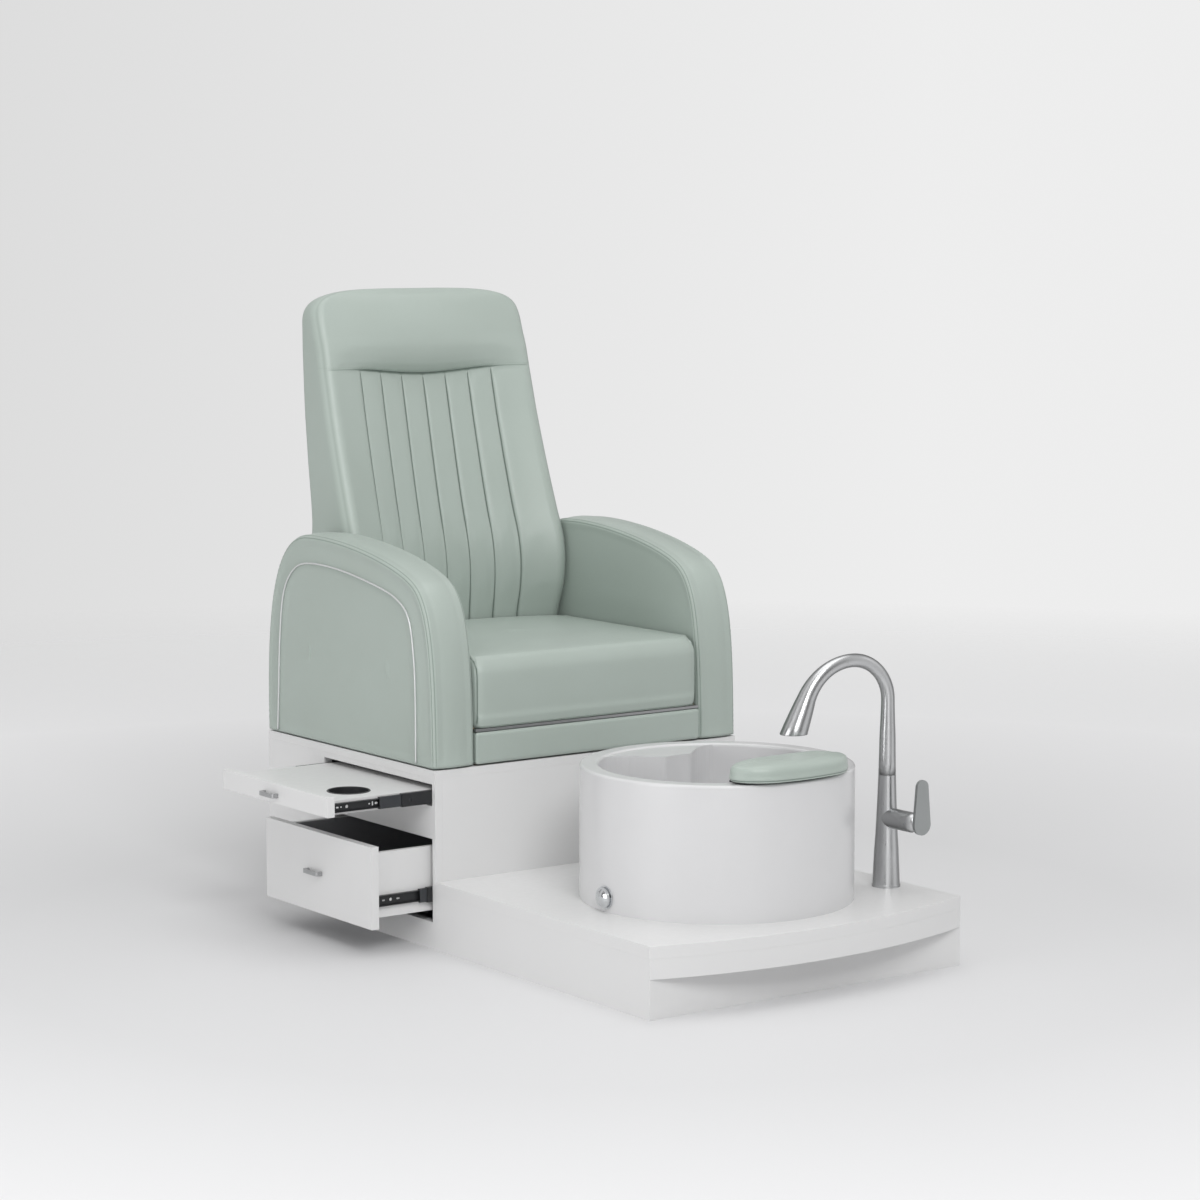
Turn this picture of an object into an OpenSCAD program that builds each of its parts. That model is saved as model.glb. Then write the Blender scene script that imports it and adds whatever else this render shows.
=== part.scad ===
// Pedicure spa chair: an upholstered armchair on a boxed pedestal, with a foot
// basin and a mixer tap on the step in front of it, and a cup-holder tray and a
// drawer that pull out on the sitter's right.
// Millimetres, +Z up, front towards -Y. The origin is on the floor, under the
// middle of the platform's straight length and width.

/* [Platform] */
// Width of the platform, side to side
platform_w = 800; // [780:2:840]
// Length of the step, from its straight front edge to the pedestal
step_l = 748; // [735:1:800]
// Length of the pedestal, front to back
pedestal_l = 689; // [680:1:730]
// How far the step's front edge bows out past its corners
step_bow = 66; // [30:1:90]
// Height of the recessed plinth under the bowed edge
plinth_h = 80; // [60:1:100]
// Height of the step's top
step_h = 145; // [140:1:165]
// Height of the pedestal's top
pedestal_h = 382; // [380:1:420]
// Thickness of the side, back and bearer boards
board_t = 18; // [16:1:20]
// Thickness of the step's deck
deck_t = 25; // [20:1:28]
// Thickness of the pedestal's front board
front_board_t = 12; // [9:1:15]
// Distance of the front bearer from the step's straight front edge
bearer_front = 103; // [97:1:107]
// Distance of the middle bearer back from the basin's centre
bearer_middle = 200; // [185:1:205]
// Distance of the rear bearer from the pedestal
bearer_rear = 29.5; // [20:0.5:45]

/* [Pull-out bay] */
// Front-to-back length of both openings in the side
bay_l = 436; // [400:1:450]
// How deep the bay's wall reaches in from the side board
bay_depth = 440; // [430:1:480]
// Height of the tray opening's lower edge
tray_slot_z = 306; // [296:1:308]
// Height of the tray opening
tray_slot_h = 46; // [45:1:50]
// Height of the drawer opening's lower edge
drawer_slot_z = 58; // [50:1:70]
// Height of the drawer opening
drawer_slot_h = 178; // [172:1:190]
// Gap all round an inset front
reveal = 1.5; // [1:0.1:2.5]

/* [Side tray] */
// How far the tray stands open
tray_open = 255; // [200:1:280]
// Length of the tray board behind its front
tray_l = 350; // [330:1:380]
// Thickness of the tray board
tray_t = 30; // [28:0.5:32]
// Height of the front's lip above the tray board
tray_lip = 10; // [6:0.5:11]
// Radius of the cup holder's recess
cup_r = 42; // [35:0.5:45]
// Depth of the cup holder's recess
cup_depth = 24; // [18:0.5:25]
// Wall of the cup holder
cup_wall = 2; // [1.5:0.1:2.5]
// Width of the cup holder's flange
cup_flange = 3; // [3:0.5:6]
// Cup holder's centre, in from the tray front's face
cup_in = 109; // [95:1:200]
// Cup holder's centre, back from the tray board's near edge
cup_back = 83; // [60:1:300]

/* [Drawer] */
// How far the drawer stands open
drawer_open = 150; // [100:1:250]
// Length of the drawer box behind its front
drawer_l = 420; // [405:1:425]
// Height of the drawer box
drawer_box_h = 138; // [120:1:142]
// Height of the drawer box's underside above its front's lower edge
drawer_lift = 22; // [15:1:26]
// Thickness of the drawer box's sides and back
drawer_side_t = 12; // [9:1:15]
// Thickness of the drawer's bottom
drawer_base_t = 6; // [4:1:8]
// Thickness of the drawer's liner
liner_t = 2; // [1.5:0.1:3]
// Height of the slides' centre line above the drawer's underside
drawer_slide_up = 36; // [26:1:50]

/* [Slides] */
// Space that a ball-bearing slide takes, from wall to drawer side
slide_w = 12.7; // [12.7:0.1:13.5]
// Height of the tray slides' inner member
tray_slide_h = 19; // [16:0.5:19.5]
// Height of the drawer slides' inner member
drawer_slide_h = 23; // [18:0.5:25]
// Length of the tray slides
tray_slide_l = 300; // [290:1:320]
// Length of the drawer slides
drawer_slide_l = 400; // [390:1:405]
// Sheet thickness of the slides
slide_t = 1.2; // [1:0.1:1.4]
// Height of the ball race between two members
race_h = 3.3; // [3:0.1:3.6]
// Length of a ball cage
cage_l = 150; // [120:1:160]

/* [Pulls] */
// Length of a pull
pull_l = 58; // [48:1:110]
// Height of a pull's bar
pull_h = 9; // [7:0.5:12]
// How far a pull stands out
pull_out = 15; // [14:1:28]
// Thickness of a pull's bar
pull_t = 5; // [4:0.5:6]

/* [Basin] */
// Outer radius of the basin
basin_r = 283; // [274:1:290]
// Height of the basin above the step
basin_h = 277; // [265:1:300]
// Distance from the pedestal to the basin
basin_gap = 162; // [120:1:170]
// Radius of the bowl
bowl_r = 244; // [238:1:248]
// Depth of the bowl
bowl_depth = 205; // [180:1:210]
// Radius of the bend between the bowl's wall and floor
bowl_bend = 40; // [25:1:60]
// Thickness of the basin's wall
basin_wall = 8; // [6:0.5:9]
// Radius of the rim's rounded edges
rim_edge = 6; // [4:0.5:8]
// How far the heel ledge reaches into the bowl
heel_reach = 109; // [60:1:120]

/* [Waste] */
// Radius of the waste's opening
waste_r = 20; // [18:0.5:21]
// Length of the waste's tail under the bowl's floor
waste_l = 66; // [60:1:70]
// Lift of the stopper
stopper_lift = 10; // [6:0.5:12]
// Outer radius of the waste pipe
pipe_r = 20; // [16:0.5:22]
// Waste pipe's distance from the middle, towards the sitter's left
pipe_x = 150; // [120:1:200]
// Height of the pipes' axes
pipe_z = 60; // [50:1:65]
// Radius of the drain knob
knob_r = 21; // [18:0.5:23]
// Height of the drain knob's axis above the step
knob_up = 30; // [28:0.5:34]

/* [Foot rest] */
// Length of the foot-rest pad
pad_l = 293; // [240:1:320]
// Width of the foot-rest pad, across the rim
pad_w = 113; // [100:1:120]
// Height of the pad's crown above the rim
pad_h = 43; // [36:1:50]
// How far the pad overhangs the basin's outside
pad_over = 9; // [4:1:14]
// Radius that the pad's front edge follows
pad_curve = 440; // [300:5:600]
// Length of the pad's rounded ends
pad_end_r = 70; // [40:1:90]
// Turn of the foot rest round the rim
rest_turn = 1.7; // [-5:0.1:5]

/* [Mixer tap] */
// Tap's distance in from the platform's right side
tap_in = 56; // [54:1:64]
// Tap's distance back from the step's straight front edge
tap_back = 168; // [150:1:190]
// Radius of the tap's foot
tap_foot_r = 30; // [26:0.5:32]
// Height of the swivel joint above the step
tap_joint_h = 236; // [215:1:250]
// Radius of the tap's body at the swivel joint
tap_joint_r = 18.5; // [17.5:0.1:20]
// Radius of the spout's tube at its top
spout_r = 14.2; // [13:0.1:15]
// Height where the spout starts to bend, above the step
spout_bend_h = 393; // [375:1:420]
// Radius of the spout's bend on its way up
bend_up_r = 88; // [70:1:100]
// Radius of the spout's bend on its way down
bend_down_r = 122; // [100:1:130]
// Lean of the spray head from upright
head_lean = 23; // [15:1:30]
// Length of the spray head's straight end
head_l = 75; // [60:1:90]
// Radius of the spray head's mouth
mouth_r = 27.5; // [22:0.5:28]
// Direction of the spout, turned from +X
spout_turn = 172.5; // [160:0.5:185]
// Height of the lever's axis above the step
lever_axis_h = 146; // [130:1:160]
// Radius of the mixing hub
hub_r = 21; // [20:0.5:22]
// Length of the valve branch, from the tap's axis
branch_l = 59; // [52:1:66]
// Length of the mixing hub up to its dome's centre
hub_l = 21; // [18:1:26]
// Height of the lever above its axis
lever_h = 93; // [70:1:110]
// Thickness of the lever
lever_t = 7; // [5:0.5:9]
// Half width of the lever's rounded top
lever_top_r = 15; // [12:0.5:18]
// Length of the tap's shank under the step's top
shank_l = 52; // [46:1:56]
// Distance between the two supply hoses
hose_pitch = 22; // [22:0.5:24]

/* [Chair] */
// Height of the glides under the chair
glide_h = 4; // [3:0.5:6]
// How far each arm stands out past the platform's side
arm_over = 2; // [0:0.5:4]
// Width of an arm
arm_w = 104; // [96:1:110]
// Length of an arm at its foot
arm_l = 691; // [685:1:700]
// Height of an arm
arm_h = 456; // [440:1:475]
// Gap between the seat and each arm
arm_gap = 1.5; // [1:0.1:2.5]
// How far the seat's face stands out past the pedestal's front
seat_over = 3; // [0:0.5:6]
// Height of the apron under the seat
apron_h = 67; // [64:1:72]
// Thickness of the apron
apron_t = 20; // [16:1:24]
// Height of the metal strip between apron and cushion
trim_h = 6; // [4:0.5:7]
// Thickness of the plywood boards
ply_t = 18; // [15:1:18]
// Thickness of the seat cushion at its sides
cushion_h = 154; // [130:1:170]
// Rise of the seat cushion's crown
cushion_crown = 9; // [4:0.5:14]
// Distance from the pedestal's front to the back cushion, at the seat
back_in = 560; // [545:1:570]
// Thickness of the back at its foot
back_depth = 115; // [112:1:118]
// Height of the back's top above the chair's underside
back_h = 988; // [950:1:1030]
// Height of the headrest roll
headrest_h = 196; // [170:1:215]
// Lean of the back above the hips
back_lean = 12.6; // [8:0.1:14]
// How far the back swells forward at the waist
lumbar_out = 7; // [0:0.5:12]
// Distance between the back's sewn channels
channel_pitch = 61; // [54:0.5:64]
// Depth of the back's sewn channels
channel_depth = 7; // [4:0.5:9]
// Diameter of the piping on the arms
piping_d = 4; // [3:0.5:5]

/* [Hidden] */
$fn = 64;
eps = 1;

// Finishes
laminate = "#E6E6E2";
plywood = "#C9A878";
leather = "#A9BAAD";
steel = "#B9BBBD";
bright = "#D9DBDD";
dark_steel = "#3A3C3F";
black = "#222426";
white_glaze = "#F1F1EF";
white_plastic = "#E9E9E9";

// Running clearance of a turning or sliding fit, and the gap of a soft seat
run_gap = 0.05;
seat_gap = 0.3;

// Platform
half_w = platform_w / 2;
y_front = -(step_l + pedestal_l) / 2;
y_ped = y_front + step_l;
y_back = y_ped + pedestal_l;
bow_r = (half_w * half_w + step_bow * step_bow) / (2 * step_bow);
under_deck = step_h - deck_t;
under_top = pedestal_h - board_t;
in_w = half_w - board_t;
bay_y = y_ped + front_board_t;
bay_end = bay_y + bay_l;
basin_y = y_ped - basin_gap - basin_r;
bearer_ys = [y_front + bearer_front, basin_y + bearer_middle, y_ped - bearer_rear];
hose_hole_r = 12;
pipe_hole_gap = 2;

// Pull-outs
pull_y = bay_y + bay_l / 2 + 10;
front_l = bay_l - 2 * reveal;
tray_x = -half_w - tray_open;
tray_front_h = tray_slot_h - 2 * reveal;
tray_top = tray_slot_z + tray_slot_h - reveal - tray_lip;
tray_slide_z = tray_top - tray_t / 2;
cup_x = tray_x + cup_in;
cup_y = bay_y + slide_w + cup_back;
drawer_x = -half_w - drawer_open;
drawer_front_h = drawer_slot_h - 2 * reveal;
drawer_z = drawer_slot_z + reveal + drawer_lift;
drawer_slide_z = drawer_z + drawer_slide_up;
tray_mid_l = tray_slide_l - 35;
drawer_mid_l = drawer_slide_l - 50;
tray_mid_front = -in_w + 36 - tray_open / 2;
drawer_mid_front = -in_w + 45 - drawer_open / 2;
cage_lead = 54;
slide_setback = 2;
cage_web = 0.8;
mid_web_y = slide_t + seat_gap;
cage_web_y = mid_web_y + slide_t + seat_gap;
inner_tip_y = cage_web_y + cage_web + seat_gap;
outer_tip_y = slide_w - 1.7;

// Basin
rim_z = step_h + basin_h;
bowl_z = rim_z - bowl_depth;
heel_flat = 12;
heel_end = 36;
tail_wall = 3;
tail_r = waste_r + tail_wall;
waste_flange_r = 34;
waste_flange_t = 3;
tail_end_z = bowl_z - waste_l;
knob_z = step_h + knob_up;
knob_shaft_r = 6;
bush_r = 9;
bush_flange_r = knob_r + 3;
bush_flange_t = 3;
bush_in = 16;
bush_nut_r = 15;
bush_nut_in = basin_r - basin_wall + seat_gap
    - sqrt(pow(basin_r - basin_wall, 2) - pow(bush_nut_r, 2));
cable_r = 3;
stem_r = 3;
pipe_out = 22;
outlet_l = 20;
pipe_bend = 45;
pipe_socket = 24;

// Foot rest
pad_bend = pad_l * pad_l / 8 / pad_curve;
pad_y = basin_y - basin_r - pad_over + pad_w / 2;
base_t = 4;
hook_drop = 22;
hook_t = 7;
hook_half = 24;

// Mixer tap
tap_x = half_w - tap_in;
tap_y = y_front + tap_back;
shank_r = 17;
shank_hole_r = 18.5;
nut_t = 9;
spigot_r = 12;
spigot_l = 60;
joint_gap = 0.3;
joint_z = step_h + tap_joint_h;
column_knots = [[4.3, 0.335], [6.6, 0.47], [9.6, 0.763]];
column_top = step_h + spout_bend_h - 60;
lever_z = step_h + lever_axis_h;
hub_y = tap_y - branch_l;
pivot_y = hub_y - joint_gap - hub_l;
paddle_gap = 4;
paddle_y = pivot_y - hub_r - paddle_gap;
pin_r = 2;
neck_w = 9;
neck_h = 12;
hose_r = 6;
hose_bend = 28;
inlet_r = 10.3;
bulkhead_r = 10.8;
inlet_out = 14;
hose_tip_r = 4;
hose_tip_l = 20;
hub_bore_r = 10;
hub_pin_l = 22;

// Chair
chair_z = pedestal_h + glide_h;
arm_x = half_w + arm_over;
seat_half = arm_x - arm_w - arm_gap;
face_y = y_ped - seat_over;
trim_z = chair_z + apron_h + arm_gap;
cushion_z = trim_z + trim_h + arm_gap;
board_z = cushion_z - arm_gap / 2 - ply_t;
back_y = y_ped + back_in;
back_top = chair_z + back_h;
seam_z = back_top - headrest_h;
back_foot = cushion_z + 2;
rear_y = back_y + back_depth;
board_in = 55;
board_y = rear_y - board_in;
board_slope = 0.06;
back_board_w = 440;
board_drop = 84;
back_board_top = back_top - board_drop;
ply_x = arm_x - arm_w / 2 - ply_t / 2;
bolt_r = 4;
bolt_head_r = 7;
bolt_head_h = 5;
frame_bolt_in = 40;
frame_y = face_y + apron_t;
frame_mid_z = (chair_z + board_z) / 2 + 12;
rear_rail_y = board_y - ply_t;
arm_bolt_ys = [y_ped + 130, y_ped + 450];
fixing_points = [for (x = [-1, 1], y = [y_ped + 60, y_back - 130])
    [x * (seat_half - ply_t / 2), y]];
glide_points = [for (x = [-1, 1], y = [y_ped + 45, y_back - 45])
    [x * (arm_x - arm_w / 2), y]];

// Spout's centre line in its own plane [reach, height], from the column's top
// to past the mouth, where it is cut off level
head_dir = [sin(head_lean), -cos(head_lean)];
bend_top = [bend_up_r, spout_bend_h + bend_up_r];
down_centre = bend_top - [0, bend_down_r];
head_start = down_centre + bend_down_r * [cos(head_lean), sin(head_lean)];
mouth = head_start + head_l * head_dir;
mouth_over = mouth_r * tan(head_lean) + 2;
spout_line = concat(
    [[0, spout_bend_h - 62]],
    arc([bend_up_r, spout_bend_h], bend_up_r, 180, 96, 7),
    arc(down_centre, bend_down_r, 90, head_lean, 6),
    [for (t = [0.25, 0.5, 0.75, 1]) head_start + t * (head_l + mouth_over) * head_dir]);
spout_radii = concat([16.4, 14.7, for (i = [0:6]) spout_r],
    [for (i = [0:6]) spout_r + (mouth_r - spout_r) * pow(i / 10.6, 2)],
    [for (t = [0.25, 0.5, 0.75, 1]) 17.4 + (mouth_r - 17.4) * t * (1.05 - 0.05 * t)]);
nozzle_r = mouth_r - 6;
nozzle_l = 5;
nozzle_in = 2;

// Back cushion
channels = 6;
lean_z = chair_z + 415;
seam_y = back_y + 10 + (seam_z - lean_z) * tan(back_lean);
crown_z = back_top - 94;
back_edge_r = 28;
back_rear_r = 14;
back_knots = [[0, 2], [0.2, 0], [0.34, -lumbar_out], [0.43, -lumbar_out / 2], [0.53, 8], [1, 10]];
wing_knots = [[0, 38], [0.2, 40], [0.33, 66], [0.48, 74], [0.76, 54], [1, 37]];
head_knots = [[0, 0], [0.12, -23], [0.3, -30], [0.55, -22], [0.75, -6], [0.91, 14], [1, 38]];
head_wing_knots = [[0, 37], [0.12, 5], [0.3, -12], [0.55, -21], [0.75, -19], [0.91, -12], [1, 0]];
rear_knots = [[0, 0], [0.45, 0], [0.62, 24], [0.77, 43], [0.93, 52], [0.97, 44], [1, 26]];
width_knots = [[0, 0], [0.42, 0], [0.48, 3], [0.9, 12]];
back_rows = [0, 0.025, 0.1, 0.2, 0.28, 0.36, 0.43, 0.51, 0.6, 0.7, 0.8, 0.9, 0.965, 1];
head_rows = [0.03, 0.1, 0.25, 0.45, 0.65, 0.8, 0.91, 0.965, 0.99, 0.998];

// Arms, whose outline is [back from the pedestal's front, up]
arm_crown = 5;
arm_edge_r = 12;
arm_rear = [[arm_l, 0], [arm_l + 7, arm_h / 2], [arm_l - 15, arm_h - 13], [arm_l - 174, arm_h - 3]];
arm_top = [[arm_l - 174, arm_h - 3], [arm_l - 316, arm_h + 5], [145, arm_h - 33], [80, arm_h - 75]];
arm_front = [[80, arm_h - 75], [11, arm_h - 120], [3, arm_h / 2 - 20], [0, 0]];
arm_outline = concat(bezier_run(arm_rear, 12), bezier_run(arm_top, 9),
    bezier_run(arm_front, 11), [[0, 0]]);

// Piping's course on an arm's outer face [back from the pedestal's front, up]
piping_knots = [[68, 4], [68, 140], [73, 223], [90, 302], [128, 340], [207, 364],
    [370, 388], [505, 391], [570, 368], [611, 311], [628, 208], [634, 116], [641, 4]];

// ---- Curves ----------------------------------------------------------------

// Point of a cubic curve with control points p, at t from 0 to 1
function bezier(p, t) = pow(1 - t, 3) * p[0] + 3 * t * pow(1 - t, 2) * p[1]
    + 3 * t * t * (1 - t) * p[2] + t * t * t * p[3];

// Points of a cubic curve in n steps, without its last point
function bezier_run(p, n) = [for (i = [0:n - 1]) bezier(p, i / n)];

// Points of an arc about c, from angle a0 to a1 in n steps
function arc(c, r, a0, a1, n) =
    [for (i = [0:n]) let (a = a0 + (a1 - a0) * i / n) c + r * [cos(a), sin(a)]];

// Signed power, the curve of a rounded rectangle
function spow(v, e) = sign(v) * pow(abs(v), e);

// Smooth rise from 0 to 1
function ease(t) = let (u = min(1, max(0, t))) u * u * (3 - 2 * u);

// Slope of knots k at knot i
function knot_slope(k, i) = let (a = max(0, i - 1), b = min(len(k) - 1, i + 1))
    (k[b][1] - k[a][1]) / (k[b][0] - k[a][0]);

// Smooth curve through knots [at, value], at x within span i
function span_value(k, x, i) = let (d = k[i + 1][0] - k[i][0], t = (x - k[i][0]) / d)
    (2 * t * t * t - 3 * t * t + 1) * k[i][1]
    + (t * t * t - 2 * t * t + t) * d * knot_slope(k, i)
    + (3 * t * t - 2 * t * t * t) * k[i + 1][1]
    + (t * t * t - t * t) * d * knot_slope(k, i + 1);

// Smooth curve through knots [at, value]
function smooth(k, x, i = 0) = x <= k[0][0] ? k[0][1]
    : x >= k[len(k) - 1][0] ? k[len(k) - 1][1]
    : x <= k[i + 1][0] ? span_value(k, x, i)
    : smooth(k, x, i + 1);

// Centre of a ring of points
function centre(ring) = [for (k = [0:2]) [for (p = ring) p[k]] * [for (p = ring) 1] / len(ring)];

// Closed form through rings of equal length, each ring anticlockwise as seen
// from the far end
module loft(rings) {
    n = len(rings[0]);
    m = len(rings);
    points = concat([for (r = rings, p = r) p], [centre(rings[0]), centre(rings[m - 1])]);
    sides = [for (j = [0:m - 2], i = [0:n - 1]) let (k = (i + 1) % n, a = j * n, b = a + n)
        each [[a + i, b + i, b + k], [a + i, b + k, a + k]]];
    first = [for (i = [0:n - 1]) [m * n, i, (i + 1) % n]];
    last = [for (i = [0:n - 1]) let (a = (m - 1) * n) [m * n + 1, a + (i + 1) % n, a + i]];
    polyhedron(points, concat(sides, first, last));
}

// Rings of a round tube of radii r along points p that lie in the plane u, v,
// whose normal is w
function tube_rings(p, r, w, sides) = [for (i = [0:len(p) - 1])
    let (a = p[max(0, i - 1)], b = p[min(len(p) - 1, i + 1)],
        t = (b - a) / norm(b - a), s = cross(t, w))
    [for (k = [0:sides - 1]) let (q = 360 * k / sides)
        p[i] + r[i] * (cos(q) * s + sin(q) * cross(t, s))]];

// Rectangle of size w, d about the origin, with corners of radius r
module rounded_rect(w, d, r) {
    square([w - 2 * r, d], center = true);
    square([w, d - 2 * r], center = true);
    for (x = [-1, 1], y = [-1, 1])
        translate([x * (w / 2 - r), y * (d / 2 - r)]) circle(r);
}

// Board between two corners
module board(a, b) {
    translate(a) cube(b - a);
}

// ---- Platform --------------------------------------------------------------

// The bowed strip in front of the step's straight edge
module bow_plan() {
    intersection() {
        translate([0, y_front - step_bow + bow_r]) circle(bow_r, $fn = 900);
        translate([-half_w, y_front - step_bow - eps]) square([platform_w, step_bow + eps]);
    }
}

// Holes for the waste pipe and both supply hoses, through boards across Y
module service_holes(y0, y1) {
    translate([pipe_x, y0 - eps, pipe_z]) rotate([-90, 0, 0])
        cylinder(r = pipe_r + pipe_hole_gap, h = y1 - y0 + 2 * eps);
    for (s = [-1, 1]) translate([tap_x + s * hose_pitch / 2, y0 - eps, pipe_z])
        rotate([-90, 0, 0]) cylinder(r = hose_r + run_gap, h = y1 - y0 + 2 * eps);
}

module step_deck() {
    color(laminate) difference() {
        translate([0, 0, under_deck]) linear_extrude(deck_t) {
            bow_plan();
            translate([-half_w, y_front]) square([platform_w, step_l]);
        }
        translate([0, basin_y, under_deck - eps])
            cylinder(r = tail_r + 12, h = deck_t + 2 * eps);
        translate([tap_x, tap_y, under_deck - eps])
            cylinder(r = shank_hole_r, h = deck_t + 2 * eps);
    }
}

module step_side_left() {
    color(laminate) board([-half_w, y_front, 0], [-in_w, y_ped, under_deck]);
}

module step_side_right() {
    color(laminate) board([in_w, y_front, 0], [half_w, y_ped, under_deck]);
}

module step_front() {
    color(laminate) board([-in_w, y_front, 0], [in_w, y_front + board_t, under_deck]);
}

module step_bow_fascia() {
    color(laminate) translate([0, 0, plinth_h])
        linear_extrude(under_deck - plinth_h) bow_plan();
}

module step_bearers() {
    color(plywood) for (y = bearer_ys) difference() {
        board([-in_w, y - board_t / 2, 0], [in_w, y + board_t / 2, under_deck]);
        if (y > basin_y) service_holes(y - board_t / 2, y + board_t / 2);
    }
}

module pedestal_top() {
    color(laminate) difference() {
        board([-half_w, y_ped, under_top], [half_w, y_back, pedestal_h]);
        for (p = fixing_points) translate([p[0], p[1], under_top - eps])
            cylinder(r = bolt_r + seat_gap, h = board_t + 2 * eps);
    }
}

module pedestal_side(x) {
    board([x, y_ped, 0], [x + board_t, y_back, under_top]);
}

module pedestal_left() {
    color(laminate) difference() {
        pedestal_side(-half_w);
        board([-half_w - eps, bay_y, tray_slot_z],
            [-in_w + eps, bay_end, tray_slot_z + tray_slot_h]);
        board([-half_w - eps, bay_y, drawer_slot_z],
            [-in_w + eps, bay_end, drawer_slot_z + drawer_slot_h]);
    }
}

module pedestal_right() {
    color(laminate) pedestal_side(in_w);
}

module pedestal_front() {
    color(laminate) difference() {
        board([-in_w, y_ped, 0], [in_w, bay_y, under_top]);
        service_holes(y_ped, bay_y);
    }
}

module pedestal_back() {
    color(laminate) difference() {
        board([-in_w, y_back - board_t, 0], [in_w, y_back, under_top]);
        translate([pipe_x, y_back - board_t - eps, pipe_z]) rotate([-90, 0, 0])
            cylinder(r = pipe_r + pipe_hole_gap, h = board_t + 2 * eps);
        for (s = [-1, 1])
            translate([tap_x + s * hose_pitch / 2, y_back - board_t - eps, pipe_z])
                rotate([-90, 0, 0]) cylinder(r = bulkhead_r + run_gap, h = board_t + 2 * eps);
    }
}

module bay_wall() {
    color(plywood) board([-in_w, bay_end, 0], [-half_w + bay_depth, bay_end + board_t, under_top]);
}

// ---- Pull-outs -------------------------------------------------------------

// Channel member of a slide: a web against the plane d from the wall, and
// flanges that reach to f from the wall, h high and l long from x. The far
// slide is its mirror image.
module slide_channel(x, z, l, h, d, f) {
    web = d < f ? d : d - slide_t;
    for (side = [0, 1]) translate([0, side * (2 * bay_y + bay_l), 0])
        mirror([0, side, 0]) {
            board([x, bay_y + web, z - h / 2], [x + l, bay_y + web + slide_t, z + h / 2]);
            for (e = [-1, 1]) translate([x, bay_y + min(d, f), z + e * (h - slide_t) / 2 - slide_t / 2])
                cube([l, abs(f - d), slide_t]);
        }
}

// Height of the n-th member out from an inner member of height h
function member_h(h, n) = h + 2 * n * (race_h + slide_t);

module outer_slides(z, l, h) {
    color(dark_steel) slide_channel(-in_w + slide_setback, z, l, member_h(h, 2), 0, outer_tip_y);
}

module middle_slides(x, z, l, h) {
    color(dark_steel) difference() {
        slide_channel(x, z, l, member_h(h, 1), mid_web_y, outer_tip_y);
        for (s = [20, l - 20]) translate([x + s, bay_y - eps, z])
            rotate([-90, 0, 0]) cylinder(d = 7, h = bay_l + 2 * eps);
    }
}

// Two strips of a cage fill the races over and under the inner member
module ball_cages(x, z, h) {
    cage_t = race_h - 2 * seat_gap;
    for (side = [0, 1]) translate([0, side * (2 * bay_y + bay_l), 0])
        mirror([0, side, 0]) color(bright) {
            for (e = [-1, 1])
                translate([x, bay_y + cage_web_y, z + e * (h + race_h) / 2 - cage_t / 2])
                    cube([cage_l, outer_tip_y - cage_web_y, cage_t]);
            translate([x, bay_y + cage_web_y, z - (h + race_h) / 2])
                cube([cage_l, cage_web, h + race_h]);
        }
}

module inner_slides(x, z, l, h) {
    color(dark_steel) difference() {
        slide_channel(x, z, l, h, slide_w, inner_tip_y);
        for (s = [35, l / 2, l - 35]) translate([x + s, bay_y - eps, z])
            rotate([-90, 0, 0]) cylinder(d = 7, h = bay_l + 2 * eps);
    }
}

// A bow pull that stands out from the face at x, centred at height z
module pull(x, z) {
    color(steel) translate([x, pull_y, z - pull_h / 2]) linear_extrude(pull_h)
        difference() {
            union() {
                translate([-pull_out / 2, 0]) rounded_rect(pull_out, pull_l, 5);
                translate([-pull_t, -pull_l / 2]) square([pull_t, pull_l]);
            }
            translate([-(pull_out - pull_t) / 2 + eps / 2, 0])
                rounded_rect(pull_out - pull_t + eps, pull_l - 2 * pull_t, 3);
        }
}

module tray_front() {
    color(laminate) board([tray_x, bay_y + reveal, tray_slot_z + reveal],
        [tray_x + board_t, bay_end - reveal, tray_slot_z + reveal + tray_front_h]);
}

module tray_board() {
    color(laminate) difference() {
        board([tray_x + board_t, bay_y + slide_w, tray_top - tray_t],
            [tray_x + board_t + tray_l, bay_end - slide_w, tray_top]);
        translate([cup_x, cup_y, tray_top - cup_depth - cup_wall])
            cylinder(r = cup_r + cup_wall, h = cup_depth + cup_wall + eps);
    }
}

module cup_holder() {
    flange_t = 1.5;
    color(black) translate([cup_x, cup_y, tray_top]) rotate_extrude() polygon([
        [0, -cup_depth - cup_wall], [cup_r + cup_wall - run_gap, -cup_depth - cup_wall],
        [cup_r + cup_wall - run_gap, 0], [cup_r + cup_flange + cup_wall / 2, 0],
        [cup_r + cup_flange + cup_wall / 2, flange_t / 2],
        [cup_r + cup_flange, flange_t], [cup_r + 1, flange_t], [cup_r, 0],
        [cup_r, -cup_depth], [0, -cup_depth]]);
}

module tray_pull() {
    pull(tray_x, tray_slot_z + tray_slot_h / 2 - 3);
}

module tray_inner_slides() {
    inner_slides(tray_x + board_t, tray_slide_z, tray_slide_l, tray_slide_h);
}

module tray_ball_cages() {
    ball_cages(tray_mid_front - cage_lead, tray_slide_z, tray_slide_h);
}

module tray_middle_slides() {
    middle_slides(tray_mid_front, tray_slide_z, tray_mid_l, tray_slide_h);
}

module tray_outer_slides() {
    outer_slides(tray_slide_z, tray_slide_l, tray_slide_h);
}

module drawer_front() {
    color(laminate) board([drawer_x, bay_y + reveal, drawer_slot_z + reveal],
        [drawer_x + board_t, bay_end - reveal, drawer_slot_z + reveal + drawer_front_h]);
}

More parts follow.
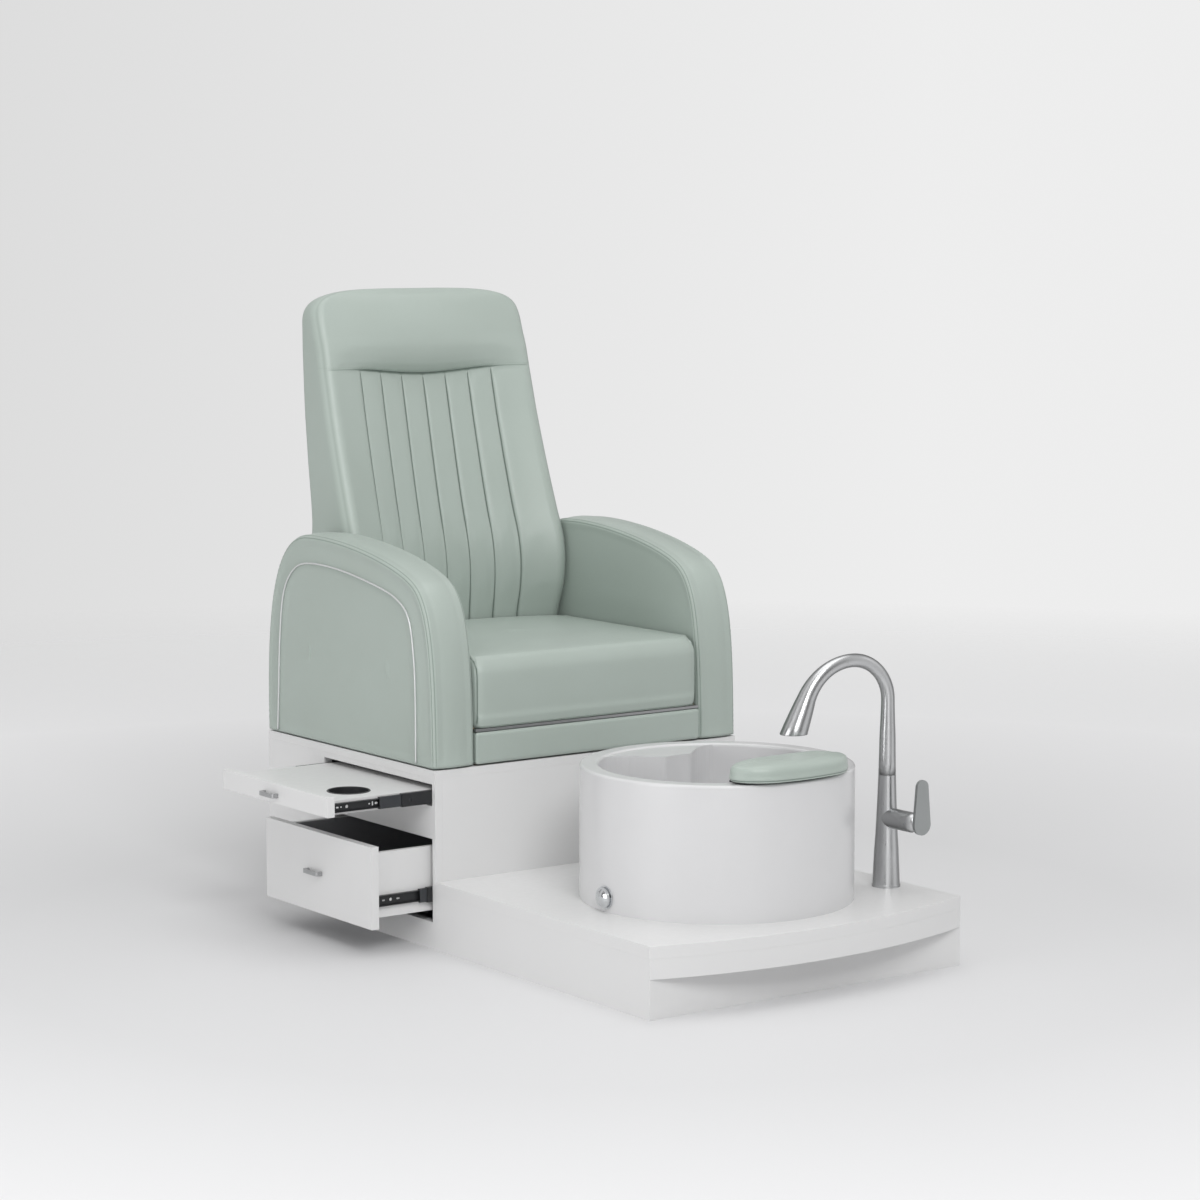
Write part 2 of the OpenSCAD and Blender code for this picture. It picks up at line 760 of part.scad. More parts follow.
module drawer_walls() {
    x0 = drawer_x + board_t;
    x1 = x0 + drawer_l;
    y0 = bay_y + slide_w;
    y1 = bay_end - slide_w;
    z1 = drawer_z + drawer_box_h;
    color(laminate) {
        board([x0, y0, drawer_z], [x1, y0 + drawer_side_t, z1]);
        board([x0, y1 - drawer_side_t, drawer_z], [x1, y1, z1]);
        board([x1 - drawer_side_t, y0 + drawer_side_t, drawer_z],
            [x1, y1 - drawer_side_t, z1]);
    }
}

module drawer_bottom() {
    color(black) board([drawer_x + board_t, bay_y + slide_w + drawer_side_t, drawer_z],
        [drawer_x + board_t + drawer_l - drawer_side_t, bay_end - slide_w - drawer_side_t,
            drawer_z + drawer_base_t]);
}

module drawer_liner() {
    inset = slide_w + drawer_side_t;
    a = [drawer_x + board_t, bay_y + inset, drawer_z + drawer_base_t];
    b = [drawer_x + board_t + drawer_l - drawer_side_t, bay_end - inset,
        drawer_z + drawer_box_h - 2];
    wall = [liner_t, liner_t, liner_t];
    color(black) difference() {
        board(a, b);
        board(a + wall, [b[0] - liner_t, b[1] - liner_t, b[2] + eps]);
    }
}

module drawer_pull() {
    pull(drawer_x, drawer_slot_z + drawer_slot_h / 2);
}

module drawer_inner_slides() {
    inner_slides(drawer_x + board_t, drawer_slide_z, drawer_slide_l, drawer_slide_h);
}

module drawer_ball_cages() {
    ball_cages(drawer_mid_front - cage_lead / 3, drawer_slide_z, drawer_slide_h);
}

module drawer_middle_slides() {
    middle_slides(drawer_mid_front, drawer_slide_z, drawer_mid_l, drawer_slide_h);
}

module drawer_outer_slides() {
    outer_slides(drawer_slide_z, drawer_slide_l, drawer_slide_h);
}

// ---- Basin -----------------------------------------------------------------

// Bowl's radius at an angle from the back, with the heel ledge drawn in
function heel_r(a) = bowl_r - heel_reach * ease((heel_end - abs(a)) / (heel_end - heel_flat));

// Plan of the heel ledge, t thinner than its outside, out to radius r
function heel_plan(t, r) = concat(
    [for (a = [-heel_end:2:heel_end]) let (q = min(r, heel_r(a) + t)) q * [sin(a), cos(a)]],
    [for (a = [heel_end:-6:-heel_end]) r * [sin(a), cos(a)]]);

module basin_shell() {
    w = basin_wall;
    color(white_glaze) translate([0, basin_y, 0]) difference() {
        union() {
            rotate_extrude($fn = 128) polygon(concat(
                [[basin_r - w, step_h], [basin_r, step_h]],
                arc([basin_r - rim_edge, rim_z - rim_edge], rim_edge, 0, 90, 4),
                arc([bowl_r + rim_edge, rim_z - rim_edge], rim_edge, 90, 180, 4),
                arc([bowl_r - bowl_bend, bowl_z + bowl_bend], bowl_bend, 0, -90, 6),
                [[0, bowl_z], [0, bowl_z - w]],
                arc([bowl_r - bowl_bend, bowl_z + bowl_bend], bowl_bend + w, -90, 0, 6),
                [[bowl_r + w, rim_z - w], [basin_r - w, rim_z - w]]));
            translate([0, 0, bowl_z - w / 2]) linear_extrude(bowl_depth + w / 2 - rim_edge / 2)
                polygon(heel_plan(0, bowl_r + w / 2));
        }
        translate([0, 0, bowl_z - w - eps])
            linear_extrude(bowl_depth - eps) polygon(heel_plan(w, bowl_r + w));
        translate([0, 0, bowl_z - w - eps]) cylinder(r = tail_r + seat_gap, h = w + 2 * eps);
        translate([-basin_r - eps, 0, knob_z]) rotate([0, 90, 0])
            cylinder(r = bush_r + run_gap, h = w + 3 * eps);
    }
}

module waste_body() {
    cross_t = 4;
    boss_r = 6;
    color(steel) translate([0, basin_y, 0]) difference() {
        union() {
            rotate_extrude() polygon([
                [waste_r, tail_end_z], [tail_r, tail_end_z], [tail_r, bowl_z],
                [waste_flange_r, bowl_z], [waste_flange_r - 2, bowl_z + waste_flange_t],
                [waste_r + 2, bowl_z + waste_flange_t], [waste_r, bowl_z]]);
            for (a = [0, 90]) rotate([0, 0, a]) translate([-waste_r - 1, -cross_t / 2, bowl_z - 34])
                cube([2 * waste_r + 2, cross_t, 8]);
            translate([0, 0, bowl_z - 34]) cylinder(r = boss_r, h = 14);
            translate([-tail_r - 6, 0, knob_z]) rotate([0, 90, 0])
                cylinder(r = cable_r + 3, h = 8);
        }
        translate([0, 0, bowl_z - 34 - eps]) cylinder(r = stem_r + run_gap, h = 14 + 2 * eps);
    }
}

module waste_stopper() {
    color(bright) translate([0, basin_y, 0]) {
        rotate_extrude() polygon([[0, bowl_z - 3], [waste_r - 1, bowl_z - 3],
            [waste_r - 0.5, bowl_z + 2], [waste_r - 3, bowl_z + 4.5], [0, bowl_z + 6]]);
        translate([0, 0, bowl_z - 50]) cylinder(r = stem_r, h = 50 - 2);
    }
}

module waste_pipe() {
    wall = 2.5;
    color(white_plastic) difference() {
        union() {
            waste_run(pipe_r);
            translate([0, basin_y, tail_end_z - 8]) cylinder(r = tail_r + 6, h = pipe_socket);
            translate([pipe_x, y_back + pipe_out - outlet_l, pipe_z]) rotate([-90, 0, 0])
                cylinder(r = pipe_r + 3, h = outlet_l);
        }
        waste_run(pipe_r - wall);
        translate([0, basin_y, tail_end_z]) cylinder(r = tail_r + run_gap, h = pipe_socket);
    }
}

// Straight runs and bends of the waste pipe, of radius r
module waste_run(r) {
    top = pipe_z + pipe_bend;
    translate([0, basin_y, top]) cylinder(r = r, h = tail_end_z - top + (r < pipe_r ? eps : 0));
    translate([pipe_bend, basin_y, top]) rotate([90, 0, 0])
        rotate_extrude(angle = 90, start = 180) translate([pipe_bend, 0]) circle(r);
    translate([pipe_bend, basin_y, pipe_z]) rotate([0, 90, 0])
        cylinder(r = r, h = pipe_x - 2 * pipe_bend);
    translate([pipe_x - pipe_bend, basin_y + pipe_bend, pipe_z])
        rotate_extrude(angle = 90, start = -90) translate([pipe_bend, 0]) circle(r);
    translate([pipe_x, basin_y + pipe_bend, pipe_z]) rotate([-90, 0, 0])
        cylinder(r = r, h = y_back + pipe_out - basin_y - pipe_bend + (r < pipe_r ? eps : 0));
}

// Hexagon nut with a bore of radius r and a height of h
module nut(r, across, h) {
    difference() {
        cylinder(d = across, h = h, $fn = 6);
        translate([0, 0, -eps]) cylinder(r = r, h = h + 2 * eps);
    }
}

module backnuts() {
    color("#B58C45") {
        translate([0, basin_y, bowl_z - basin_wall - nut_t]) nut(tail_r + run_gap, 72, nut_t);
        translate([tap_x, tap_y, under_deck - nut_t]) nut(shank_r + run_gap, 52, nut_t);
    }
}

module drain_knob() {
    t = 12;
    color(bright) translate([-basin_r - bush_flange_t - seat_gap, basin_y, knob_z])
        rotate([0, -90, 0]) {
            rotate_extrude() polygon(concat([[0, 0], [knob_r - 2, 0], [knob_r, 2], [knob_r, 6]],
                arc([0, -16], 28, 52, 90, 5)));
            translate([0, 0, -30]) cylinder(r = knob_shaft_r, h = 30 + eps);
        }
}

module drain_knob_bush() {
    color(bright) translate([-basin_r, basin_y, knob_z]) rotate([0, 90, 0]) difference() {
        union() {
            translate([0, 0, -bush_flange_t]) cylinder(r = bush_flange_r, h = bush_flange_t);
            cylinder(r = bush_r, h = bush_in);
            translate([0, 0, basin_wall + bush_nut_in]) cylinder(r = bush_nut_r, h = 6, $fn = 6);
        }
        translate([0, 0, -bush_flange_t - eps])
            cylinder(r = knob_shaft_r + run_gap, h = bush_flange_t + bush_in + 2 * eps);
    }
}

module drain_cable() {
    x0 = -basin_r - bush_flange_t - seat_gap + 30;
    color(black) translate([x0, basin_y, knob_z]) rotate([0, 90, 0])
        cylinder(r = cable_r, h = -x0 - tail_r - 6);
}

// ---- Foot rest -------------------------------------------------------------

// Ring of the pad's plan at height z, drawn in by d
function pad_ring(z, d) = let (e = max(3, pad_end_r - d), m = pad_l / 2 - d - e)
    [for (p = concat([for (a = [-90:15:90]) [m + e * cos(a), sin(a)]],
        [for (t = [0.5, 0, -0.5]) [t * m, 1]],
        [for (a = [90:15:270]) [-m + e * cos(a), sin(a)]],
        [for (t = [-0.8:0.2:0.81]) [t * m, -1]]))
        let (v = pad_bend * pow(2 * p[0] / pad_l, 2) / 2)
        [p[0], pad_y + v + p[1] * (pad_w / 2 - d - v), z]];

// Turns what follows about the basin's middle
module turned_rest() {
    translate([0, basin_y, 0]) rotate([0, 0, rest_turn]) translate([0, -basin_y, 0]) children();
}

module foot_rest_pad() {
    z0 = rim_z + base_t + seat_gap;
    h = pad_h - base_t - seat_gap;
    color(leather) turned_rest() loft([for (p = [[0, 6], [0.06, 2], [0.2, 0], [0.5, 0], [0.7, 2.5],
        [0.85, 8], [0.94, 17], [0.985, 30], [1, 42]]) pad_ring(z0 + p[0] * h, p[1])]);
}

module foot_rest_base() {
    color(black) translate([0, basin_y, 0]) rotate([0, 0, rest_turn]) {
        intersection() {
            translate([0, 0, rim_z]) rotate_extrude($fn = 128)
                translate([bowl_r - hook_t + seat_gap / 2, 0])
                square([basin_r - bowl_r + hook_t - rim_edge, base_t]);
            translate([-pad_l / 2 + 14, -basin_r, rim_z - eps]) cube([pad_l - 28, 92, 20]);
        }
        intersection() {
            translate([0, 0, rim_z - hook_drop]) rotate_extrude($fn = 128)
                translate([bowl_r - hook_t - seat_gap, 0]) square([hook_t, hook_drop + base_t]);
            rotate([0, 0, -90]) linear_extrude(rim_z + base_t)
                polygon([[0, 0], for (a = [-hook_half, 0, hook_half]) 2 * basin_r * [cos(a), sin(a)]]);
        }
    }
}

// ---- Mixer tap -------------------------------------------------------------

module tap_body() {
    color(steel) translate([tap_x, tap_y, step_h]) difference() {
        union() {
            rotate_extrude() polygon([[0, -shank_l], [shank_r, -shank_l], [shank_r, 0],
                [tap_foot_r, 0], [tap_foot_r, 5], [tap_foot_r - 1, 6],
                for (k = column_knots) [tap_foot_r - k[0], k[1] * tap_joint_h],
                [tap_joint_r, tap_joint_h], [0, tap_joint_h]]);
            translate([0, 0, lever_axis_h]) rotate([90, 0, 0]) cylinder(r = hub_r, h = branch_l);
        }
        translate([0, 0, tap_joint_h - spigot_l / 2]) cylinder(r = spigot_r, h = spigot_l);
        for (s = [-1, 1]) translate([s * hose_pitch / 2, 0, -shank_l - eps])
            cylinder(r = hose_tip_r + run_gap, h = hose_tip_l + eps);
        translate([0, -branch_l - eps, lever_axis_h]) rotate([-90, 0, 0])
            cylinder(r = hub_bore_r + run_gap, h = hub_pin_l + 2 * eps);
    }
}

module tap_spigot() {
    color(bright) translate([tap_x, tap_y, joint_z - spigot_l / 2]) difference() {
        cylinder(r = spigot_r, h = spigot_l);
        translate([0, 0, -eps]) cylinder(r = spigot_r - 3, h = spigot_l + 2 * eps);
    }
}

module tap_spout() {
    n = len(spout_line);
    path = [for (p = spout_line) [p[0], 0, p[1]]];
    color(steel) translate([tap_x, tap_y, step_h]) rotate([0, 0, spout_turn]) difference() {
        union() {
            rotate_extrude() polygon([[0, tap_joint_h + joint_gap],
                [tap_joint_r, tap_joint_h + joint_gap], [17, 310], [16.4, spout_bend_h - 60],
                [0, spout_bend_h - 60]]);
            loft(tube_rings(path, [for (i = [0:n - 1]) spout_radii[i]], [0, 1, 0], 20));
        }
        translate([0, 0, tap_joint_h - eps])
            cylinder(r = spigot_r + run_gap, h = spigot_l / 2 + 2 * eps);
        translate([mouth[0], 0, mouth[1] - head_l]) cylinder(r = 2 * mouth_r, h = head_l);
        translate([mouth[0], 0, mouth[1] - eps])
            cylinder(r = nozzle_r + run_gap, h = nozzle_in + nozzle_l + eps);
    }
}

module tap_aerator() {
    color(black) translate([tap_x, tap_y, step_h]) rotate([0, 0, spout_turn])
        translate([mouth[0], 0, mouth[1] + nozzle_in]) cylinder(r = nozzle_r, h = nozzle_l);
}

// Slot in the hub's dome that lets the lever's neck tip
module mixing_hub() {
    color(steel) translate([tap_x, pivot_y, lever_z]) rotate([90, 0, 0]) difference() {
        union() {
            sphere(hub_r);
            translate([0, 0, -hub_l]) cylinder(r = hub_r, h = hub_l);
            translate([0, 0, -hub_l - joint_gap - hub_pin_l]) cylinder(r = hub_bore_r, h = hub_pin_l + 5);
        }
        translate([-neck_w / 2 - seat_gap, -hub_r, -neck_h / 2 - 1])
            cube([neck_w + 2 * seat_gap, hub_r + neck_h / 2 + 1, hub_r * 2]);
        rotate([0, 90, 0]) cylinder(r = pin_r, h = 2 * hub_r + 2, center = true);
    }
}

module lever_pin() {
    color(steel) translate([tap_x, pivot_y, lever_z]) rotate([0, 90, 0])
        cylinder(r = pin_r, h = 2 * hub_r - 2, center = true);
}

module tap_lever() {
    color(steel) translate([tap_x, paddle_y, lever_z]) {
        difference() {
            rotate([90, 0, 0]) linear_extrude(lever_t) {
                circle(hub_r + 1);
                translate([0, lever_h - lever_top_r]) circle(lever_top_r);
                polygon([[-hub_r - 1, 0], [hub_r + 1, 0],
                    [lever_top_r, lever_h - lever_top_r], [-lever_top_r, lever_h - lever_top_r]]);
            }
        }
        difference() {
            union() {
                translate([-neck_w / 2, -eps, -neck_h / 2])
                    cube([neck_w, pivot_y - paddle_y + eps, neck_h]);
                translate([-neck_w / 2, pivot_y - paddle_y, 0]) rotate([0, 90, 0])
                    cylinder(r = neck_h / 2, h = neck_w);
            }
            translate([-neck_w / 2 - eps, pivot_y - paddle_y, 0]) rotate([0, 90, 0])
                cylinder(r = pin_r + run_gap, h = neck_w + 2 * eps);
        }
    }
}

// Each hose screws up into the shank, bends to the back and ends in an inlet
module supply_hoses() {
    top = step_h - shank_l;
    run_y = tap_y + hose_bend;
    end_y = y_back - board_t - 6;
    color(black) for (s = [-1, 1]) translate([tap_x + s * hose_pitch / 2, 0, 0]) {
        translate([0, tap_y, top - eps]) cylinder(r = hose_tip_r, h = hose_tip_l + eps);
        translate([0, tap_y, pipe_z + hose_bend]) cylinder(r = hose_r, h = top - pipe_z - hose_bend);
        translate([0, run_y, pipe_z + hose_bend]) rotate([0, 90, 0])
            rotate_extrude(angle = 90, start = -90) translate([hose_bend, 0]) circle(hose_r);
        translate([0, run_y, pipe_z]) rotate([-90, 0, 0]) cylinder(r = hose_r, h = end_y - run_y);
        translate([0, end_y, pipe_z]) rotate([-90, 0, 0]) difference() {
            union() {
                cylinder(r = bulkhead_r, h = y_back - end_y);
                cylinder(r = inlet_r, h = y_back + inlet_out - end_y);
            }
            translate([0, 0, y_back + inlet_out - end_y - 12]) cylinder(r = 7, h = 12 + eps);
        }
    }
}

// ---- Chair -----------------------------------------------------------------

module chair_glides() {
    color(black) for (p = glide_points) translate([p[0], p[1], pedestal_h])
        cylinder(r = 16, h = glide_h);
}

// Bolt with its head at the origin and its shank l long towards +Z
module bolt(l) {
    translate([0, 0, -bolt_head_h]) cylinder(r = bolt_head_r, h = bolt_head_h);
    translate([0, 0, -eps]) cylinder(r = bolt_r, h = l + eps);
}

module chair_bolts() {
    color(bright) {
        for (p = fixing_points) translate([p[0], p[1], under_top])
            bolt(board_t + glide_h + frame_bolt_in);
        for (s = [-1, 1], y = arm_bolt_ys)
            translate([s * (seat_half - ply_t), y, frame_mid_z]) rotate([0, s * 90, 0])
                bolt(ply_x + ply_t + ply_t - seat_half);
        for (s = [-1, 1]) translate([s * back_board_w / 4, rear_rail_y, frame_mid_z])
            rotate([-90, 0, 0]) bolt(ply_t + ply_t);
    }
}

module seat_frame() {
    h = board_z - chair_z;
    color(plywood) difference() {
        union() {
            for (s = [-1, 1]) translate([s * (seat_half - ply_t / 2), 0, 0])
                board([-ply_t / 2, frame_y, chair_z], [ply_t / 2, board_y, board_z]);
            board([-seat_half + ply_t, frame_y, chair_z],
                [seat_half - ply_t, frame_y + ply_t, board_z]);
            rotate([90, 0, 90]) translate([0, 0, -seat_half + ply_t])
                linear_extrude(2 * (seat_half - ply_t)) polygon([[rear_rail_y, chair_z],
                    [board_y, chair_z], [board_y + h * board_slope, board_z],
                    [rear_rail_y, board_z]]);
        }
        for (p = fixing_points) translate([p[0], p[1], chair_z - eps])
            cylinder(r = bolt_r + run_gap, h = frame_bolt_in + eps);
        for (s = [-1, 1], y = arm_bolt_ys)
            translate([s * seat_half / 2, y, frame_mid_z]) rotate([0, s * 90, 0])
                cylinder(r = bolt_r + run_gap, h = seat_half);
        for (s = [-1, 1]) translate([s * back_board_w / 4, rear_rail_y - eps, frame_mid_z])
            rotate([-90, 0, 0]) cylinder(r = bolt_r + run_gap, h = 3 * ply_t);
    }
}

module seat_board() {
    color(plywood) board([-seat_half, frame_y, board_z], [seat_half, board_y, board_z + ply_t]);
}

module seat_apron() {
    r = 5;
    color(leather) translate([0, frame_y - seat_gap, 0]) rotate([90, 0, 0])
        loft([for (p = [[0, 0], [apron_t - r, 0], [apron_t - r / 2, r * 0.13],
            [apron_t - 1, r * 0.5], [apron_t, r]]) apron_ring(p[0], p[1], r)]);
}

// Ring of the apron's outline at distance z out from its back, drawn in by d,
// with corners of radius r
function apron_ring(z, d, r) = let (w = seat_half - d, a = chair_z + d, b = chair_z + apron_h - d)
    [for (p = concat(arc([w - r, a + r], r, -90, 0, 3), arc([w - r, b - r], r, 0, 90, 3),
        arc([-w + r, b - r], r, 90, 180, 3), arc([-w + r, a + r], r, 180, 270, 3)))
        [p[0], p[1], z]];

module seat_trim() {
    color(steel) board([-seat_half, face_y + 4, trim_z],
        [seat_half, frame_y - seat_gap, trim_z + trim_h]);
}

// Front face of the back cushion at height z, and how far it wraps forward at
// its edges
function back_line(z) = z < seam_z
    ? smooth([for (k = back_knots) [back_foot + k[0] * (seam_z - back_foot), back_y + k[1]]], z)
        + max(0, z - lean_z) * tan(back_lean)
    : seam_y + smooth([for (k = head_knots) [seam_z + k[0] * headrest_h, k[1]]], z);
function back_wing(z) = z < seam_z
    ? smooth([for (k = wing_knots) [back_foot + k[0] * (seam_z - back_foot), k[1]]], z)
    : smooth([for (k = head_wing_knots) [seam_z + k[0] * headrest_h, k[1]]], z);
function back_rear(z) =
    rear_y + smooth([for (k = rear_knots) [chair_z + k[0] * back_h, k[1]]], z);
function back_half(z) = let (w = smooth([for (k = width_knots) [chair_z + k[0] * back_h,
    seat_half - k[1]]], z), u = max(0, (z - crown_z) / (back_top - crown_z)))
    w * pow(1 - pow(min(u, 0.999), 4), 0.25);

// Depth of a sewn channel's groove at x, on a scale of 0 to 1
function groove(x) = let (t = x / channel_pitch, f = t - floor(t))
    abs(x) > (channels / 2 + 0.01) * channel_pitch ? 0 : pow(abs(2 * f - 1), 3);

// Height of a point of the row at z: the headrest's seam rises at its sides
function row_z(z, x) = z + 16 * ease(abs(x) / 240) * max(0, 1 - abs(z - seam_z) / 90);

// One horizontal ring of the back cushion, drawn in by d
function back_ring(z, d) = let (w = back_half(z) - d, k = w / seat_half,
    y1 = back_rear(z) - d, wing = back_wing(z), y0 = back_line(z) + d,
    ye = y0 - wing * pow((w - back_edge_r) / 280, 2),
    r = max(2, min(back_edge_r, w / 3, (y1 - ye) / 2.3)), rr = min(r, back_rear_r),
    q = z < seam_z ? channel_depth : 0, m = channels / 2 * channel_pitch,
    xs = concat([for (t = [1, 0.72, 0.36]) -k * m - t * (w - r - k * m)],
        [for (i = [0:channels - 1], t = [0, 0.15, 0.5, 0.85]) k * (-m + (i + t) * channel_pitch)],
        [for (t = [0, 0.36, 0.72, 1]) k * m + t * (w - r - k * m)]),
    ya = y0 - wing * pow((w - r) / 280, 2))
    [for (p = concat(
        [for (x = xs) [x, y0 - wing * pow(x / 280, 2) + q * groove(x / k)]],
        [for (a = [-60, -30, 0]) [w - r + r * cos(a), ya + r + r * sin(a)]],
        [for (a = [0, 45, 90]) [w - rr + rr * cos(a), y1 - rr + rr * sin(a)]],
        [[0, y1]],
        [for (a = [90, 135, 180]) [-w + rr + rr * cos(a), y1 - rr + rr * sin(a)]],
        [for (a = [180, 210, 240]) [-w + r + r * cos(a), ya + r + r * sin(a)]]))
        [p[0], p[1], row_z(z, p[0])]];

module back_cushion() {
    span = seam_z - back_foot;
    rows = concat([for (t = back_rows) back_foot + t * span],
        [for (t = head_rows) seam_z + t * headrest_h]);
    color(leather) difference() {
        loft([for (z = rows) back_ring(z, z == rows[0] ? 10
            : abs(z - seam_z) < 0.005 * headrest_h ? 3 : 0)]);
        back_board_form(seat_gap, back_foot - 2 * eps);
    }
}

// The back's board, g larger all round, from height z0 up
module back_board_form(g, z0) {
    h = back_board_top + g - z0;
    y0 = board_y + (z0 - chair_z) * board_slope - g;
    rotate([90, 0, 90]) translate([0, 0, -back_board_w / 2 - g])
        linear_extrude(back_board_w + 2 * g) polygon([[y0, z0], [y0 + ply_t + 2 * g, z0],
            [y0 + ply_t + 2 * g + h * board_slope, z0 + h], [y0 + h * board_slope, z0 + h]]);
}

module back_board() {
    color(plywood) difference() {
        back_board_form(0, chair_z);
        for (s = [-1, 1]) translate([s * back_board_w / 4, rear_rail_y - eps, frame_mid_z])
            rotate([-90, 0, 0]) cylinder(r = bolt_r + run_gap, h = 4 * ply_t);
    }
}

// Ring of the seat cushion at height z, drawn in by d, and by f at its front
function seat_ring(z, d, f, n = 56) = let (w = seat_half - d, y0 = face_y + f,
    y1 = back_line(cushion_z + cushion_h) - seat_gap - d)
    [for (i = [0:n - 1]) let (a = 360 * i / n, s = spow(sin(a), 0.2), x = w * spow(cos(a), 0.2))
        [x, (y0 + y1) / 2 + s * (y1 - y0) / 2
            - (s > 0 ? s : 0) * back_wing(cushion_z + cushion_h) * pow(x / 280, 2), z]];

// The top seat ring shrunk to share k about its middle, raised to height z
function seat_crown(k, z) = let (r = seat_ring(z, 12, 30), c = centre(r))
    [for (p = r) [c[0] + k * (p[0] - c[0]), c[1] + k * (p[1] - c[1]), z]];

module seat_cushion() {
    z = cushion_z;
    top = cushion_z + cushion_h;
    color(leather) loft(concat(
        [seat_ring(z, 8, 8), seat_ring(z + 6, 2, 2), seat_ring(z + 30, 0, 0),
            seat_ring(top - 45, 0, 0), seat_ring(top - 30, 0.5, 3),
            seat_ring(top - 16, 2, 9), seat_ring(top - 6, 5, 18), seat_ring(top, 12, 30)],
        [seat_crown(0.85, top + cushion_crown * 0.45), seat_crown(0.6, top + cushion_crown * 0.85),
            seat_crown(0.3, top + cushion_crown)]));
}

// ---- Arms ------------------------------------------------------------------

// Outward direction of the arm's outline at point i, level at its two feet
function arm_normal(i) = let (n = len(arm_outline), t = arm_outline[min(n - 1, i + 1)]
    - arm_outline[max(0, i - 1)])
    i == 0 ? [1, 0] : i == n - 1 ? [-1, 0] : [t[1], -t[0]] / norm(t);

// Ring of the arm at x, with its outline drawn in by d
function arm_ring(x, d) = [for (i = [0:len(arm_outline) - 1])
    let (p = arm_outline[i] - d * arm_normal(i)) [x, y_ped + p[0], chair_z + p[1]]];

module arm(side) {
    x0 = -arm_x;
    e = arm_edge_r;
    edge = [for (a = [0, 30, 60, 90]) [e * (1 - cos(a)), e * (1 - sin(a))]];
    color(leather) mirror([side > 0 ? 1 : 0, 0, 0]) difference() {
        loft(concat([for (p = edge) arm_ring(x0 + p[0], p[1])],
            [for (t = [0.25, 0.5, 0.75]) arm_ring(x0 + arm_w * t,
                -arm_crown * (1 - pow(2 * t - 1, 2)))],
            [for (i = [3:-1:0]) arm_ring(x0 + arm_w - edge[i][0], edge[i][1])]));
        arm_ply(seat_gap, chair_z - eps);
        for (y = arm_bolt_ys) translate([-ply_x - ply_t / 2, y, frame_mid_z]) rotate([0, 90, 0])
            cylinder(r = bolt_r + 1, h = arm_w);
    }
}

// Plywood core of the left arm, g larger all round, cut off at height z0
module arm_ply(g, z0) {
    inset = 42;
    translate([-ply_x - ply_t - g, 0, 0]) rotate([90, 0, 90]) linear_extrude(ply_t + 2 * g)
        polygon([[y_ped + inset - g, z0], [y_ped + arm_l - inset + g, z0],
            [y_ped + arm_l - inset - 15 + g, chair_z + arm_h - 110 + g],
            [y_ped + arm_l - 190, chair_z + arm_h - inset + g],
            [y_ped + 230, chair_z + arm_h - inset - 16 + g],
            [y_ped + inset + 40 - g, chair_z + arm_h - 140 + g]]);
}

module arm_frames() {
    color(plywood) for (side = [0, 1]) mirror([side, 0, 0]) difference() {
        arm_ply(0, chair_z);
        for (y = arm_bolt_ys) translate([-ply_x - 2 * ply_t, y, frame_mid_z])
            rotate([0, 90, 0]) cylinder(r = bolt_r + run_gap, h = 3 * ply_t);
    }
}

module arm_left() {
    arm(0);
}

module arm_right() {
    arm(1);
}

module arm_piping() {
    x = arm_x + seat_gap + piping_d / 2;
    path = piping_points();
    color(bright) for (s = [-1, 1])
        loft(tube_rings([for (p = path) [s * x, y_ped + p[0], chair_z + p[1]]],
            [for (p = path) piping_d / 2], [s, 0, 0], 6));
}

// Points of the piping, two spans to each pair of knots
function piping_points() = let (n = len(piping_knots))
    [for (i = [0:2 * n - 2]) let (a = floor(i / 2), k = piping_knots)
        i % 2 == 0 ? k[a]
        : (9 * (k[a] + k[a + 1]) - k[max(0, a - 1)] - k[min(n - 1, a + 2)]) / 16];

// ---- Parts -----------------------------------------------------------------

step_deck();
step_side_left();
step_side_right();
step_front();
step_bow_fascia();
step_bearers();
pedestal_top();
pedestal_left();
pedestal_right();
pedestal_front();
pedestal_back();
bay_wall();
tray_front();
tray_board();
cup_holder();
tray_pull();
tray_inner_slides();
tray_ball_cages();
tray_middle_slides();
tray_outer_slides();
drawer_front();
drawer_walls();
drawer_bottom();
drawer_liner();
drawer_pull();
drawer_inner_slides();
drawer_ball_cages();
drawer_middle_slides();
drawer_outer_slides();
basin_shell();
waste_body();
waste_stopper();
waste_pipe();
backnuts();
drain_knob();
drain_knob_bush();
drain_cable();
foot_rest_base();
foot_rest_pad();
tap_body();
tap_spigot();
tap_spout();
tap_aerator();
mixing_hub();
tap_lever();
lever_pin();
supply_hoses();
chair_glides();
chair_bolts();
seat_frame();
seat_board();
seat_apron();
seat_trim();
seat_cushion();
arm_frames();
arm_left();
arm_right();
arm_piping();
back_board();
back_cushion();
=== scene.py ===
"""Finished look of a pedicure spa chair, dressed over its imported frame.

Sizes of the pieces are millimetres along the frame's axes: x to the right of
somebody facing the chair, y towards its back and z up.  A surface is turned
into metres as its mesh is made.  Sizes of finishes and of the studio are
metres.
"""
import logging
import math
from dataclasses import dataclass, field
from enum import Enum
from functools import lru_cache
from typing import Any

